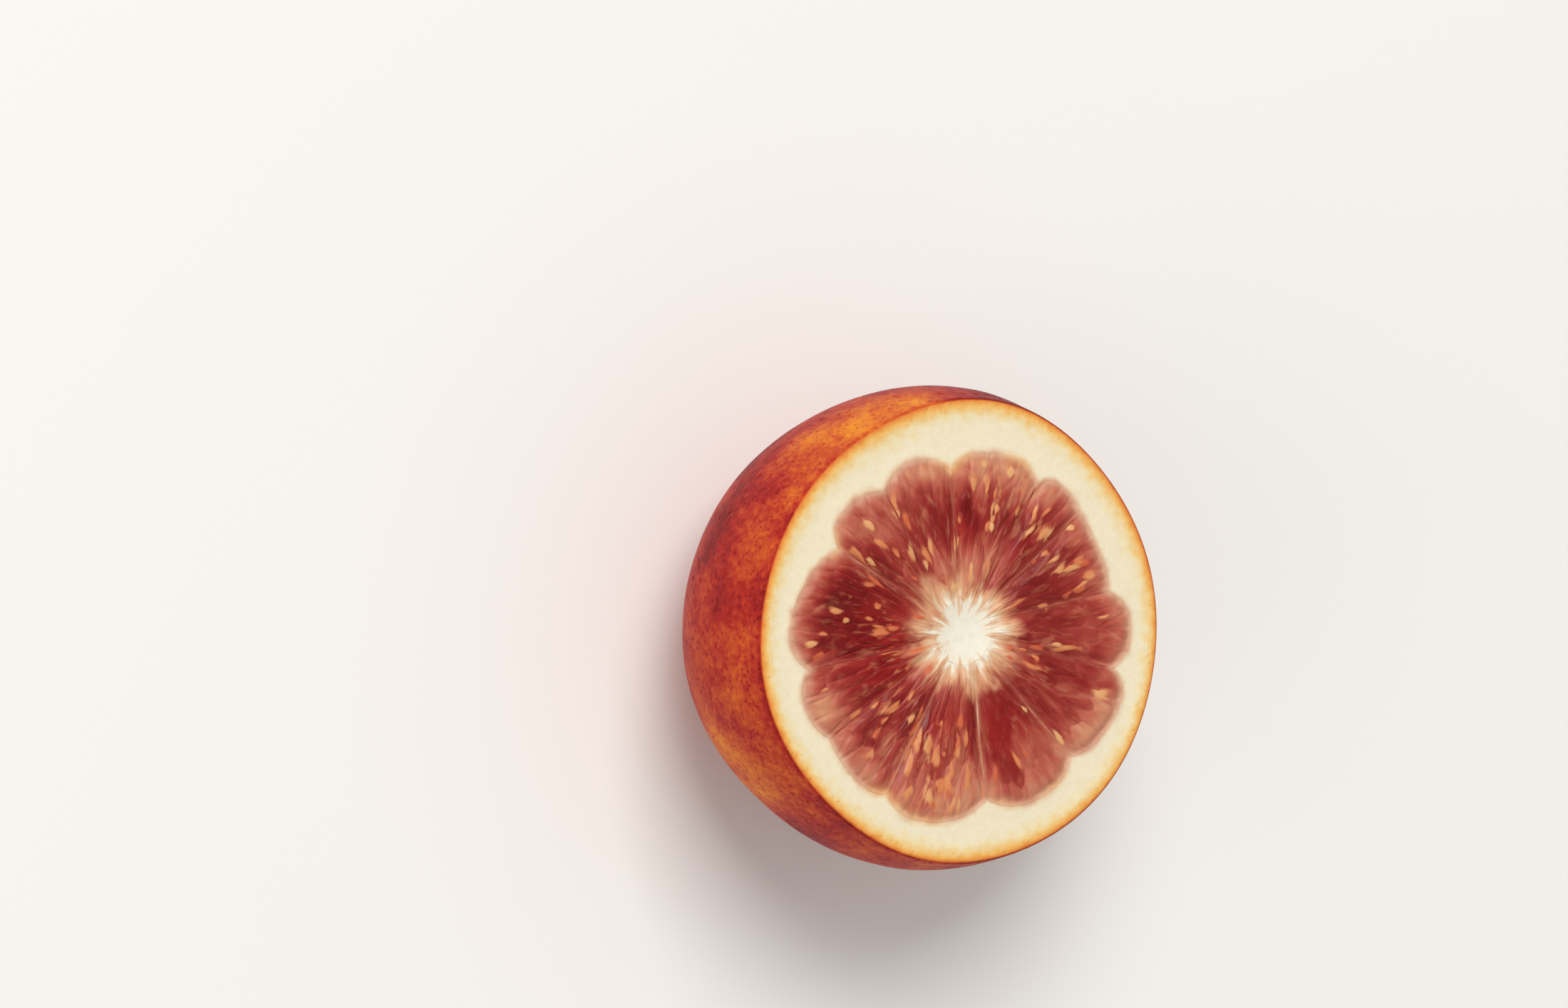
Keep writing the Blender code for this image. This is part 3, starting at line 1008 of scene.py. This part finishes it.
def membrane_mesh(number):
    """One membrane, a thin wedge that runs from inside the core to inside the pith."""
    notch = SEGMENTS[number][1]
    radius = np.linspace(CORE_RADIUS - INTO_CORE, notch + INTO_PITH, MEMBRANE_ROWS)[:, None]
    side = np.linspace(-1.0, 1.0, MEMBRANE_COLUMNS)[None, :]
    angle = membrane_angle(number, radius) + membrane_half(radius) * side / radius
    to_end = np.maximum(np.minimum(notch - radius, radius - CORE_RADIUS), 0)
    furrow = -FURROW_DEPTH * relief_share(to_end)
    end_drop = END_DROP * np.exp(-to_end / END_DROP_LENGTH)
    height = CUT_HEIGHT + furrow - end_drop + MEMBRANE_PROUD * (1 - side**2)
    height = np.broadcast_to(height, angle.shape)
    grid = np.dstack((radius * np.cos(angle), radius * np.sin(angle), height))
    mesh = lobe_mesh(f"membrane_{number + 1:02d}", grid)
    points = points_of(mesh)
    from_middle = np.hypot(points[:, 0], points[:, 1])
    note_on_points(mesh, "paleness", membrane_paleness(number, from_middle))
    note_on_points(mesh, "past_flesh", from_middle - notch)
    note_on_points(mesh, "from_pale", from_pale_middle(points))
    note_golden_soak(mesh)
    return mesh


def membrane_material():
    """Thin pale skin, wet with juice: cream at the core and stained red further out."""
    material, tree = start_material("juice stained membrane")
    place = add_node(tree, "ShaderNodeTexCoord").outputs["Object"]
    paleness = add_node(tree, "ShaderNodeAttribute", {"attribute_name": "paleness"})
    patches = add_node(
        tree, "ShaderNodeTexNoise", {"Scale": 1 / STAIN_SIZE, "Detail": 3.0}, {"Vector": place}
    )
    uneven = add_node(
        tree, "ShaderNodeMapRange", {**NOISE_RANGE, "To Min": -0.2, "To Max": 0.2}, {"Value": patches}
    )
    stained = add_node(
        tree, "ShaderNodeMath", {"operation": "ADD"},
        {"Value": paleness.outputs["Fac"], "Value_001": uneven},
    )
    skin = add_node(tree, "ShaderNodeValToRGB", {"stops": MEMBRANE_COLOURS}, {"Fac": stained})
    colour = soaked_edge(tree, glow_over(tree, skin), FLESH_END)
    shader = add_node(
        tree, "ShaderNodeBsdfPrincipled", {"IOR": 1.38, "Roughness": 0.45, "Specular IOR Level": 0.3},
        {"Base Color": colour},
    )
    add_node(tree, "ShaderNodeOutputMaterial", {}, {"Surface": shader})
    return material


stained_membrane = membrane_material()
for membrane_number in range(len(MEMBRANES)):
    membrane = add_piece(membrane_mesh(membrane_number))
    membrane.data.materials.append(stained_membrane)
    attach(membrane, "root")

# The segments
# Twelve wedges of wet flesh, each packed with juice sacs that point at the core. The pigment is
# uneven: deep maroon in most sacs, crimson in some, and a few hold none and stay golden.

FURROW_HALF_WIDTH = 1.10 * MM
SEGMENT_SWELL = 0.50 * MM
GRID_SPACING = 0.17 * MM
SAC_REFERENCE_RADIUS = 16.0 * MM
SAC_FADE = 0.7 * MM
GLOW_WIDTH = 0.45 * MM
LESS_ROOM_IN_GOLD = 0.7
LESS_ROOM_WHERE_EVEN = 0.4

# Where the flesh departs from its usual depth of colour: angle, radius and spread in millimetres, and
# how much darker. The tables after it are alike
BASE_DEPTH = 0.50
DEPTH_PATCHES = (
    (167.0, 21.0, 5.0, 0.42),
    (187.0, 16.0, 5.0, 0.32),
    (212.0, 17.0, 3.5, 0.26),
    (156.0, 15.5, 3.5, 0.14),
    (98.0, 16.5, 3.8, 0.36),
    (297.0, 15.0, 4.5, 0.26),
    (20.0, 15.0, 5.5, 0.15),
    (42.0, 14.5, 4.5, 0.14),
    (62.0, 18.5, 3.5, 0.12),
    (345.0, 16.0, 5.5, 0.12),
    (243.0, 14.5, 4.0, 0.18),
    (225.0, 21.0, 3.5, 0.10),
    (100.0, 10.5, 4.0, -0.45),
    (68.0, 11.5, 3.5, -0.26),
    (210.0, 24.5, 4.5, -0.34),
    (196.0, 24.5, 2.5, 0.12),
    (112.0, 25.5, 4.5, -0.24),
    (135.0, 20.0, 4.0, -0.12),
    (158.0, 26.0, 3.0, -0.18),
    (332.0, 25.0, 5.0, -0.30),
    (8.0, 24.0, 5.0, -0.14),
    (64.0, 25.0, 4.0, -0.26),
    (83.0, 25.0, 4.0, -0.28),
    (255.0, 20.0, 4.5, -0.16),
    (276.0, 23.0, 5.0, -0.30),
    (308.0, 22.0, 5.0, -0.20),
)
CRIMSON_PATCHES = (
    (187.0, 15.0, 6.0, 1.2),
    (210.0, 15.0, 4.0, 0.7),
    (165.0, 20.0, 4.0, 0.4),
    (95.0, 16.5, 3.5, 0.8),
    (297.0, 15.5, 4.0, 0.9),
    (60.0, 16.0, 3.5, 0.5),
    (258.0, 14.0, 3.5, 0.6),
)

# Where thin peach and golden streaks show most between the sacs
PEACH_PATCHES = (
    (205.0, 12.0, 5.5, 0.8),
    (165.0, 17.0, 5.0, 0.4),
    (132.0, 16.0, 4.5, 0.3),
    (96.0, 10.0, 5.0, 0.9),
    (76.0, 24.0, 5.0, 0.9),
    (58.0, 18.0, 4.0, 0.3),
    (105.0, 27.0, 3.5, 0.7),
    (262.0, 24.0, 6.0, 1.2),
    (252.0, 17.0, 4.5, 1.0),
    (238.0, 25.0, 4.0, 0.8),
    (42.0, 22.0, 4.5, 0.3),
    (20.0, 22.0, 3.5, 0.4),
    (345.0, 11.0, 4.0, 0.5),
)

# Small golden sacs are scattered over the plain flesh too. Their lengths and widths are in millimetres
PLAIN_SHARE = 0.25
SMALL_SAC_COUNT = 100
SMALL_SAC_SEED = 11
SMALL_SAC_NEAREST = 8.0 * MM
SMALL_SAC_FURTHEST = 26.5 * MM
SMALL_SAC_LENGTHS = (0.9, 3.4)
SMALL_SAC_WIDTHS = (0.45, 0.95)
SMALL_SAC_TONES = (-0.1, 0.8)

# Where the flesh is smoother and more even
EVEN_PATCHES = (
    (3.0, 17.0, 6.5, 1.0),
    (32.0, 17.0, 6.5, 1.0),
    (128.0, 19.0, 5.0, 0.7),
    (312.0, 18.0, 6.5, 0.9),
)

# The golden sacs that stand out most: angle, then radius, length and width in millimetres, and tone,
# from 0 for orange to 1 for pale gold
GOLDEN_SACS = (
    (25.5, 22.9, 2.4, 1.5, 0.6),
    (51.0, 20.0, 2.8, 1.7, 0.65),
    (43.5, 24.0, 1.2, 1.0, 0.7),
    (76.5, 25.0, 2.0, 1.7, 0.9),
    (86.5, 25.3, 1.3, 1.2, 0.8),
    (91.0, 22.2, 2.4, 1.0, 0.6),
    (85.0, 22.4, 2.2, 0.9, 0.6),
    (78.0, 19.0, 1.1, 1.0, 0.7),
    (106.0, 6.8, 1.3, 1.9, 0.8),
    (132.0, 14.7, 2.4, 1.3, 0.6),
    (140.0, 23.0, 2.2, 1.2, 0.7),
    (151.5, 21.5, 3.8, 0.8, 0.4),
    (160.0, 18.0, 2.4, 0.8, 0.2),
    (182.0, 14.2, 3.0, 1.6, 0.1),
    (186.5, 26.0, 2.2, 1.0, 0.6),
    (225.0, 16.3, 3.4, 1.2, 0.3),
    (231.5, 23.8, 1.8, 1.1, 0.6),
    (243.5, 16.0, 2.8, 1.3, 0.2),
    (254.0, 17.5, 3.0, 1.3, 0.6),
    (260.0, 18.9, 2.6, 1.5, 0.4),
    (248.5, 21.5, 4.4, 1.2, 0.6),
    (252.0, 25.6, 2.6, 1.2, 0.7),
    (260.5, 24.8, 2.4, 1.4, 0.6),
    (270.5, 17.6, 2.4, 1.0, 0.4),
    (271.5, 13.2, 1.8, 1.2, 0.1),
    (266.0, 22.8, 2.6, 3.0, 0.4),
    (275.5, 21.5, 3.8, 1.0, 0.5),
    (342.0, 25.5, 2.8, 1.6, 0.8),
    (341.0, 12.6, 4.0, 0.8, 0.3),
    (355.0, 17.5, 5.0, 0.9, 0.4),
)
GOLDEN_SWELL = 0.08 * MM
GOLDEN_BEND = 0.07
BEND_WAVE = 1.7
GOLDEN_TAPER = 0.35
GOLDEN_CRISPNESS = 0.8
USUAL_GOLDEN_TONE = 0.5

MAROON_COLOURS = (
    (0.00, "cf8c6a"),
    (0.22, "be6752"),
    (0.42, "a44136"),
    (0.60, "8e2823"),
    (0.80, "781818"),
    (1.00, "5e0e10"),
)
CRIMSON_COLOURS = ((0.00, "c4523c"), (0.50, "a02420"), (1.00, "780e11"))
GOLDEN_COLOURS = ((0.00, "cf6440"), (0.45, "db8a56"), (1.00, "ebb87e"))
THREAD_COLOUR = "d28a5c"
FULL_SAC_DEPTH = 0.12
GOLDEN_STREAKINESS = 1.5
MEMBRANE_GLOW_COLOUR = "cd8a6c"


def all_golden_sacs():
    """The named golden sacs, and small ones scattered where the flesh has peach streaks."""
    draw = np.random.default_rng(SMALL_SAC_SEED)
    sacs = [
        (angle, radius * MM, length * MM, width * MM, tone)
        for angle, radius, length, width, tone in GOLDEN_SACS
    ]
    while len(sacs) < len(GOLDEN_SACS) + SMALL_SAC_COUNT:
        angle = draw.uniform(0.0, 360.0)
        radius = math.sqrt(draw.uniform(SMALL_SAC_NEAREST**2, SMALL_SAC_FURTHEST**2))
        length = draw.uniform(*SMALL_SAC_LENGTHS) * MM
        width = draw.uniform(*SMALL_SAC_WIDTHS) * MM
        tone = draw.uniform(*SMALL_SAC_TONES)
        wanted = PLAIN_SHARE + patch_sum(math.radians(angle), radius, PEACH_PATCHES)
        if draw.uniform() < wanted:
            sacs.append((angle, radius, length, width, tone))
    return sacs


def golden_sacs_at(angle, radius):
    """How golden the flesh is at a place, from 0 to 1, and the tone of the nearest golden sac."""
    golden = np.zeros(np.shape(radius))
    tone = np.full(np.shape(radius), USUAL_GOLDEN_TONE)
    for sac_angle, sac_radius, length, width, sac_tone in all_golden_sacs():
        turned = angle - math.radians(sac_angle)
        turned = (turned + math.pi) % math.tau - math.pi
        along = (radius * np.cos(turned) - sac_radius) / (length / 2)
        bend = GOLDEN_BEND * length * np.sin(BEND_WAVE * along + sac_angle)
        across = (radius * np.sin(turned) + bend) / (width / 2)
        taper = 1 + GOLDEN_TAPER * np.clip(along, -1, 1)
        share = np.exp(-GOLDEN_CRISPNESS * (along**2 + (across / taper) ** 2))
        tone = np.where(share > golden, sac_tone, tone)
        golden = np.maximum(share, golden)
    return golden, tone


def segment_mesh(number):
    """One wedge of flesh, with notes on its points for the sacs and the colours."""
    span = math.radians(SEGMENTS[number][0])
    widest = SEGMENTS[number][2]
    columns = round(widest * span / GRID_SPACING)
    rows = round((widest - CORE_RADIUS) / GRID_SPACING)
    across = np.linspace(0.0, 1.0, columns)[None, :]
    share = np.linspace(0.0, 1.0, rows)[:, None]
    reach = flesh_reach(number, across)
    radius = CORE_RADIUS + (reach - CORE_RADIUS) * share
    first = membrane_angle(number, radius)
    last = membrane_angle(number + 1, radius)
    margin = membrane_half(radius) / radius
    angle = first + margin + (last - first - 2 * margin) * across
    to_membrane = radius * np.minimum(angle - first, last - angle)
    between = 1 - np.exp(-((to_membrane / FURROW_HALF_WIDTH) ** 2))
    to_edge = np.minimum(reach - radius, radius - CORE_RADIUS)
    inside = relief_share(to_edge)
    gold, gold_tone = golden_sacs_at(angle, radius)
    relief = inside * (between * SEGMENT_SWELL - (1 - between) * FURROW_DEPTH)
    height = CUT_HEIGHT + relief + inside * GOLDEN_SWELL * gold
    grid = np.dstack((radius * np.cos(angle), radius * np.sin(angle), height))
    mesh = lobe_mesh(f"segment_{number + 1:02d}", grid)
    hidden = len(mesh.vertices) - rows * columns
    clear = np.minimum(to_membrane, to_edge) / SAC_FADE
    even = np.clip(patch_sum(angle, radius, EVEN_PATCHES), 0, 1)
    sac_room = np.clip(clear, 0, 1) * (1 - LESS_ROOM_IN_GOLD * gold) * (1 - LESS_ROOM_WHERE_EVEN * even)
    glows = [
        membrane_paleness(side, radius) * np.exp(-((radius * away / GLOW_WIDTH) ** 2))
        for side, away in ((number, angle - first), (number + 1, last - angle))
    ]
    notes = {
        "around": angle * SAC_REFERENCE_RADIUS,
        "outward": radius,
        "sac_room": sac_room * np.sqrt(radius / widest),
        "even": even,
        "pigment": BASE_DEPTH + patch_sum(angle, radius, DEPTH_PATCHES),
        "crimson": np.clip(patch_sum(angle, radius, CRIMSON_PATCHES), 0, 1),
        "peach": np.clip(patch_sum(angle, radius, PEACH_PATCHES), 0, 1),
        "gold": gold,
        "gold_tone": gold_tone,
        "membrane_glow": np.maximum(*glows),
        "past_flesh": radius - reach + 0 * angle,
    }
    for name, values in notes.items():
        note_on_points(mesh, name, np.append(values.ravel(), np.zeros(hidden)))
    note_on_points(mesh, "from_pale", from_pale_middle(points_of(mesh)))
    note_golden_soak(mesh)
    return mesh


def juice_sac_tree():
    """Pack a segment with juice sacs, each a low cushion that is longer outwards than across."""
    tree, given = start_geometry_tree(
        "juice sacs", ("Sac width", "Sac length", "Sac swell", "Waviness", "Seed")
    )
    around, outward, room = (
        add_node(tree, "GeometryNodeInputNamedAttribute", {"data_type": "FLOAT", "Name": name})
        for name in ("around", "outward", "sac_room")
    )
    in_widths = add_node(
        tree, "ShaderNodeMath", {"operation": "DIVIDE"}, {"Value": around, "Value_001": given["Sac width"]}
    )
    in_lengths = add_node(
        tree, "ShaderNodeMath", {"operation": "DIVIDE"},
        {"Value": outward, "Value_001": given["Sac length"]},
    )
    flow = add_node(tree, "ShaderNodeCombineXYZ", {}, {"X": in_widths, "Y": in_lengths, "Z": given["Seed"]})
    wave = add_node(tree, "ShaderNodeTexNoise", {"Scale": 0.55, "Detail": 1.0}, {"Vector": flow})
    waved = add_node(
        tree, "ShaderNodeVectorMath", {"operation": "SCALE"},
        {"Vector": wave.outputs["Color"], "Scale": given["Waviness"]},
    )
    flow = add_node(
        tree, "ShaderNodeVectorMath", {"operation": "ADD"}, {"Vector": flow, "Vector_001": waved}
    )
    to_side = add_node(
        tree,
        "ShaderNodeTexVoronoi",
        {"voronoi_dimensions": "3D", "feature": "DISTANCE_TO_EDGE", "Scale": 1.0},
        {"Vector": flow},
    )
    sac = add_node(
        tree, "ShaderNodeTexVoronoi", {"voronoi_dimensions": "3D", "feature": "F1", "Scale": 1.0},
        {"Vector": flow},
    )
    filled = add_node(
        tree, "ShaderNodeMapRange", {"From Min": 0.0, "From Max": 0.32},
        {"Value": to_side.outputs["Distance"]},
    )
    emptied = add_node(
        tree, "ShaderNodeMath", {"operation": "SUBTRACT", "Value": 1.0}, {"Value_001": filled}
    )
    emptied = add_node(
        tree, "ShaderNodeMath", {"operation": "MULTIPLY"}, {"Value": emptied, "Value_001": emptied}
    )
    sunk = add_node(
        tree, "ShaderNodeMath", {"operation": "MULTIPLY"},
        {"Value": emptied, "Value_001": given["Sac swell"]},
    )
    sunk = add_node(tree, "ShaderNodeMath", {"operation": "MULTIPLY"}, {"Value": sunk, "Value_001": room})
    downwards = add_node(
        tree, "ShaderNodeMath", {"operation": "MULTIPLY", "Value_001": -1.0}, {"Value": sunk}
    )
    offset = add_node(tree, "ShaderNodeCombineXYZ", {}, {"Z": downwards})
    tone = add_node(tree, "ShaderNodeSeparateXYZ", {}, {"Vector": sac.outputs["Color"]})
    toned = add_node(
        tree,
        "GeometryNodeStoreNamedAttribute",
        {"data_type": "FLOAT", "domain": "POINT", "Name": "sac_tone"},
        {"Geometry": given["Geometry"], "Value": tone},
    )
    edged = add_node(
        tree,
        "GeometryNodeStoreNamedAttribute",
        {"data_type": "FLOAT", "domain": "POINT", "Name": "sac_fill"},
        {"Geometry": toned, "Value": filled},
    )
    moved = add_node(tree, "GeometryNodeSetPosition", {}, {"Geometry": edged, "Offset": offset})
    end_geometry_tree(tree, moved, given["Material"])
    return tree


def flesh_material():
    """Wet juice sacs under a thin film: maroon and crimson, streaked along the sacs, partly golden."""
    material, tree = start_material("wet blood orange flesh")
    names = ("pigment", "crimson", "peach", "gold", "gold_tone", "membrane_glow", "past_flesh")
    notes = {
        name: add_node(tree, "ShaderNodeAttribute", {"attribute_name": name}).outputs["Fac"]
        for name in (*names, "sac_tone", "sac_fill", "even")
    }
    streaks = outward_streaks(tree, width=1.6 * MM, length=5.0 * MM)
    fine_streaks = outward_streaks(tree, width=0.8 * MM, length=2.4 * MM)
    streaked = add_node(
        tree, "ShaderNodeMapRange", {**NOISE_RANGE, "To Min": -0.15, "To Max": 0.15}, {"Value": streaks}
    )
    sac_toned = add_node(
        tree, "ShaderNodeMapRange", {"To Min": -0.14, "To Max": 0.14}, {"Value": notes["sac_tone"]}
    )
    sac_toned = add_node(
        tree, "ShaderNodeMath", {"operation": "MULTIPLY_ADD", "Value_001": FULL_SAC_DEPTH},
        {"Value": notes["sac_fill"], "Value_002": sac_toned},
    )
    calm = add_node(
        tree,
        "ShaderNodeMapRange",
        {"From Min": -7.0 * MM, "From Max": -1.0 * MM, "To Min": 1.0, "To Max": 0.4},
        {"Value": notes["past_flesh"]},
    )
    sac_toned = add_node(
        tree, "ShaderNodeMath", {"operation": "MULTIPLY"}, {"Value": sac_toned, "Value_001": calm}
    )
    mottled = add_node(
        tree, "ShaderNodeMath", {"operation": "ADD"}, {"Value": streaked, "Value_001": sac_toned}
    )
    lively = add_node(tree, "ShaderNodeMapRange", {"To Min": 1.0, "To Max": 0.5}, {"Value": notes["even"]})
    depth = add_node(
        tree, "ShaderNodeMath", {"operation": "MULTIPLY_ADD"},
        {"Value": mottled, "Value_001": lively, "Value_002": notes["pigment"]},
    )
    near_edge = add_node(
        tree,
        "ShaderNodeMapRange",
        {**SOFT_STEP, "From Min": -6.0 * MM, "From Max": 0.0, "To Min": 0.0, "To Max": 0.34},
        {"Value": notes["past_flesh"]},
    )
    depth = add_node(
        tree, "ShaderNodeMath", {"operation": "SUBTRACT"}, {"Value": depth, "Value_001": near_edge}
    )
    maroon = add_node(tree, "ShaderNodeValToRGB", {"stops": MAROON_COLOURS}, {"Fac": depth})
    crimson = add_node(tree, "ShaderNodeValToRGB", {"stops": CRIMSON_COLOURS}, {"Fac": depth})
    red = add_node(
        tree, "ShaderNodeMix", {"data_type": "RGBA"},
        {"Factor_Float": notes["crimson"], "A_Color": maroon, "B_Color": crimson},
    )
    threads = add_node(
        tree,
        "ShaderNodeMapRange",
        {**SOFT_STEP, "From Min": 0.54, "From Max": 0.72, "To Min": 0.0, "To Max": 0.75},
        {"Value": fine_streaks},
    )
    some_threads = add_node(
        tree, "ShaderNodeMapRange", {"To Min": 0.12, "To Max": 1.0}, {"Value": notes["peach"]}
    )
    threads = add_node(
        tree, "ShaderNodeMath", {"operation": "MULTIPLY"}, {"Value": threads, "Value_001": some_threads}
    )
    red = add_node(
        tree, "ShaderNodeMix", {"data_type": "RGBA", "B_Color": linear(THREAD_COLOUR)},
        {"Factor_Float": threads, "A_Color": red},
    )
    broken = add_node(
        tree, "ShaderNodeMapRange", {"From Min": 0.35, "From Max": 0.65, "To Min": 0.25, "To Max": 0.75},
        {"Value": fine_streaks},
    )
    broken = add_node(
        tree, "ShaderNodeMath", {"operation": "MULTIPLY"},
        {"Value": broken, "Value_001": notes["membrane_glow"]},
    )
    red = add_node(
        tree, "ShaderNodeMix", {"data_type": "RGBA", "B_Color": linear(MEMBRANE_GLOW_COLOUR)},
        {"Factor_Float": broken, "A_Color": red},
    )
    red = glow_over(tree, red)
    toned = add_node(
        tree, "ShaderNodeMath", {"operation": "MULTIPLY_ADD", "Value_001": GOLDEN_STREAKINESS},
        {"Value": streaked, "Value_002": notes["gold_tone"]},
    )
    gold_colour = add_node(tree, "ShaderNodeValToRGB", {"stops": GOLDEN_COLOURS}, {"Fac": toned})
    gold_noise = add_node(
        tree, "ShaderNodeMapRange", {**NOISE_RANGE, "To Min": -0.28, "To Max": 0.28},
        {"Value": fine_streaks},
    )
    gold = add_node(
        tree, "ShaderNodeMath", {"operation": "ADD"}, {"Value": gold_noise, "Value_001": notes["gold"]}
    )
    golden = add_node(
        tree,
        "ShaderNodeMapRange",
        {**SOFT_STEP, "From Min": 0.22, "From Max": 0.80, "To Min": 0.0, "To Max": 0.92},
        {"Value": gold},
    )
    red = add_node(
        tree, "ShaderNodeMix", {"data_type": "RGBA"},
        {"Factor_Float": golden, "A_Color": red, "B_Color": gold_colour},
    )
    colour = soaked_edge(tree, red, FLESH_END)
    roughness = add_node(
        tree, "ShaderNodeMapRange", {"To Min": 0.40, "To Max": 0.24}, {"Value": notes["sac_fill"]}
    )
    film = add_node(tree, "ShaderNodeBump", {"Strength": 0.15, "Distance": 0.12 * MM}, {"Height": streaks})
    shader = add_node(
        tree, "ShaderNodeBsdfPrincipled", {"IOR": 1.36, "Specular IOR Level": 0.28},
        {"Base Color": colour, "Roughness": roughness, "Normal": film},
    )
    add_node(tree, "ShaderNodeOutputMaterial", {}, {"Surface": shader})
    return material


wet_flesh = flesh_material()
juice_sacs = juice_sac_tree()
for segment_number in range(len(SEGMENTS)):
    segment = add_piece(segment_mesh(segment_number))
    grow(
        segment,
        juice_sacs,
        {
            "Sac width": 1.35 * MM,
            "Sac length": 5.5 * MM,
            "Sac swell": 0.28 * MM,
            "Waviness": 0.9,
            "Seed": 3.7 * segment_number,
            "Material": wet_flesh,
        },
    )
    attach(segment, "root")

# The floor
# A sheet of pale paper under the half, as a studio has it. It is matt, and so wide that none of its
# edges is in view.

FLOOR_HALF_WIDTH = 3.0


def floor_material():
    """Matt pale paper."""
    material, tree = start_material("matt pale paper")
    shader = add_node(
        tree, "ShaderNodeBsdfPrincipled",
        {"Base Color": linear("f3f1ec"), "Roughness": 0.9, "Specular IOR Level": 0.1},
    )
    add_node(tree, "ShaderNodeOutputMaterial", {}, {"Surface": shader})
    return material


floor_mesh = bpy.data.meshes.new("floor")
floor_corners = [
    (x * FLOOR_HALF_WIDTH, y * FLOOR_HALF_WIDTH, 0.0) for x, y in ((-1, -1), (1, -1), (1, 1), (-1, 1))
]
floor_mesh.from_pydata(floor_corners, [], [(0, 1, 2, 3)])
floor_mesh.materials.append(floor_material())
floor = add_piece(floor_mesh)

# The light
# Soft daylight from above and the top of the picture, with a gentle fill on the side that shows. A
# white sky lights the rest evenly.

# Each soft light's name, place, width in metres and watts
SOFT_LIGHTS = (
    ("key_light", (-0.9, 1.5, 2.5), 1.5, 62.0),
    ("fill_light", (-2.4, -0.6, 1.2), 1.8, 12.0),
)
SKY_STRENGTH = 0.45
LIT_POINT = Vector((0.0, 0.0, BULGE_HEIGHT))


def add_soft_light(name, place, width, watts):
    """A square soft box that faces the fruit."""
    lamp = bpy.data.lights.new(name, "AREA")
    lamp.shape = "SQUARE"
    lamp.size = width
    lamp.energy = watts
    light = bpy.data.objects.new(name, lamp)
    light.location = place
    light.rotation_mode = "QUATERNION"
    light.rotation_quaternion = (LIT_POINT - Vector(place)).to_track_quat("-Z", "Y")
    bpy.context.scene.collection.objects.link(light)


for soft_light in SOFT_LIGHTS:
    add_soft_light(*soft_light)

sky = bpy.data.worlds.new("soft sky")
sky.use_nodes = True
sky_background = sky.node_tree.nodes["Background"]
sky_background.inputs["Color"].default_value = linear("ffffff")
sky_background.inputs["Strength"].default_value = SKY_STRENGTH
bpy.context.scene.world = sky
bpy.context.scene.view_settings.view_transform = "Standard"

# The camera
# It looks down on the cut face from the -X side. It is rolled, so that the far side of the half is on
# the right of the picture, and set off so that the half has its place in the photograph's frame.

CAMERA_ELEVATION = math.radians(60.6)
CAMERA_ROLL = math.radians(4.0)
CAMERA_DISTANCE = 1.2
SENSOR_MM = 36.0
IMAGE_WIDTH = 2200
IMAGE_HEIGHT = 1414
METRES_A_PIXEL = 0.1066 * MM
BULGE_CENTRE_X = 1297.5
BULGE_CENTRE_Y = 882.0

back = Vector((-math.cos(CAMERA_ELEVATION), 0.0, math.sin(CAMERA_ELEVATION)))
level_right = Vector((math.sin(CAMERA_ELEVATION), 0.0, math.cos(CAMERA_ELEVATION)))
level_up = Vector((0.0, 1.0, 0.0))
right = level_right * math.cos(CAMERA_ROLL) + level_up * math.sin(CAMERA_ROLL)
up = level_up * math.cos(CAMERA_ROLL) - level_right * math.sin(CAMERA_ROLL)
aim = LIT_POINT - right * (BULGE_CENTRE_X - IMAGE_WIDTH / 2) * METRES_A_PIXEL
aim += up * (BULGE_CENTRE_Y - IMAGE_HEIGHT / 2) * METRES_A_PIXEL
camera_data = bpy.data.cameras.new("camera")
camera_data.sensor_width = SENSOR_MM
camera_data.lens = SENSOR_MM * CAMERA_DISTANCE / (IMAGE_WIDTH * METRES_A_PIXEL)
camera = bpy.data.objects.new("camera", camera_data)
camera_turn = Matrix((right, up, back)).transposed().to_4x4()
camera.matrix_world = Matrix.Translation(aim + back * CAMERA_DISTANCE) @ camera_turn
bpy.context.scene.collection.objects.link(camera)
bpy.context.scene.camera = camera
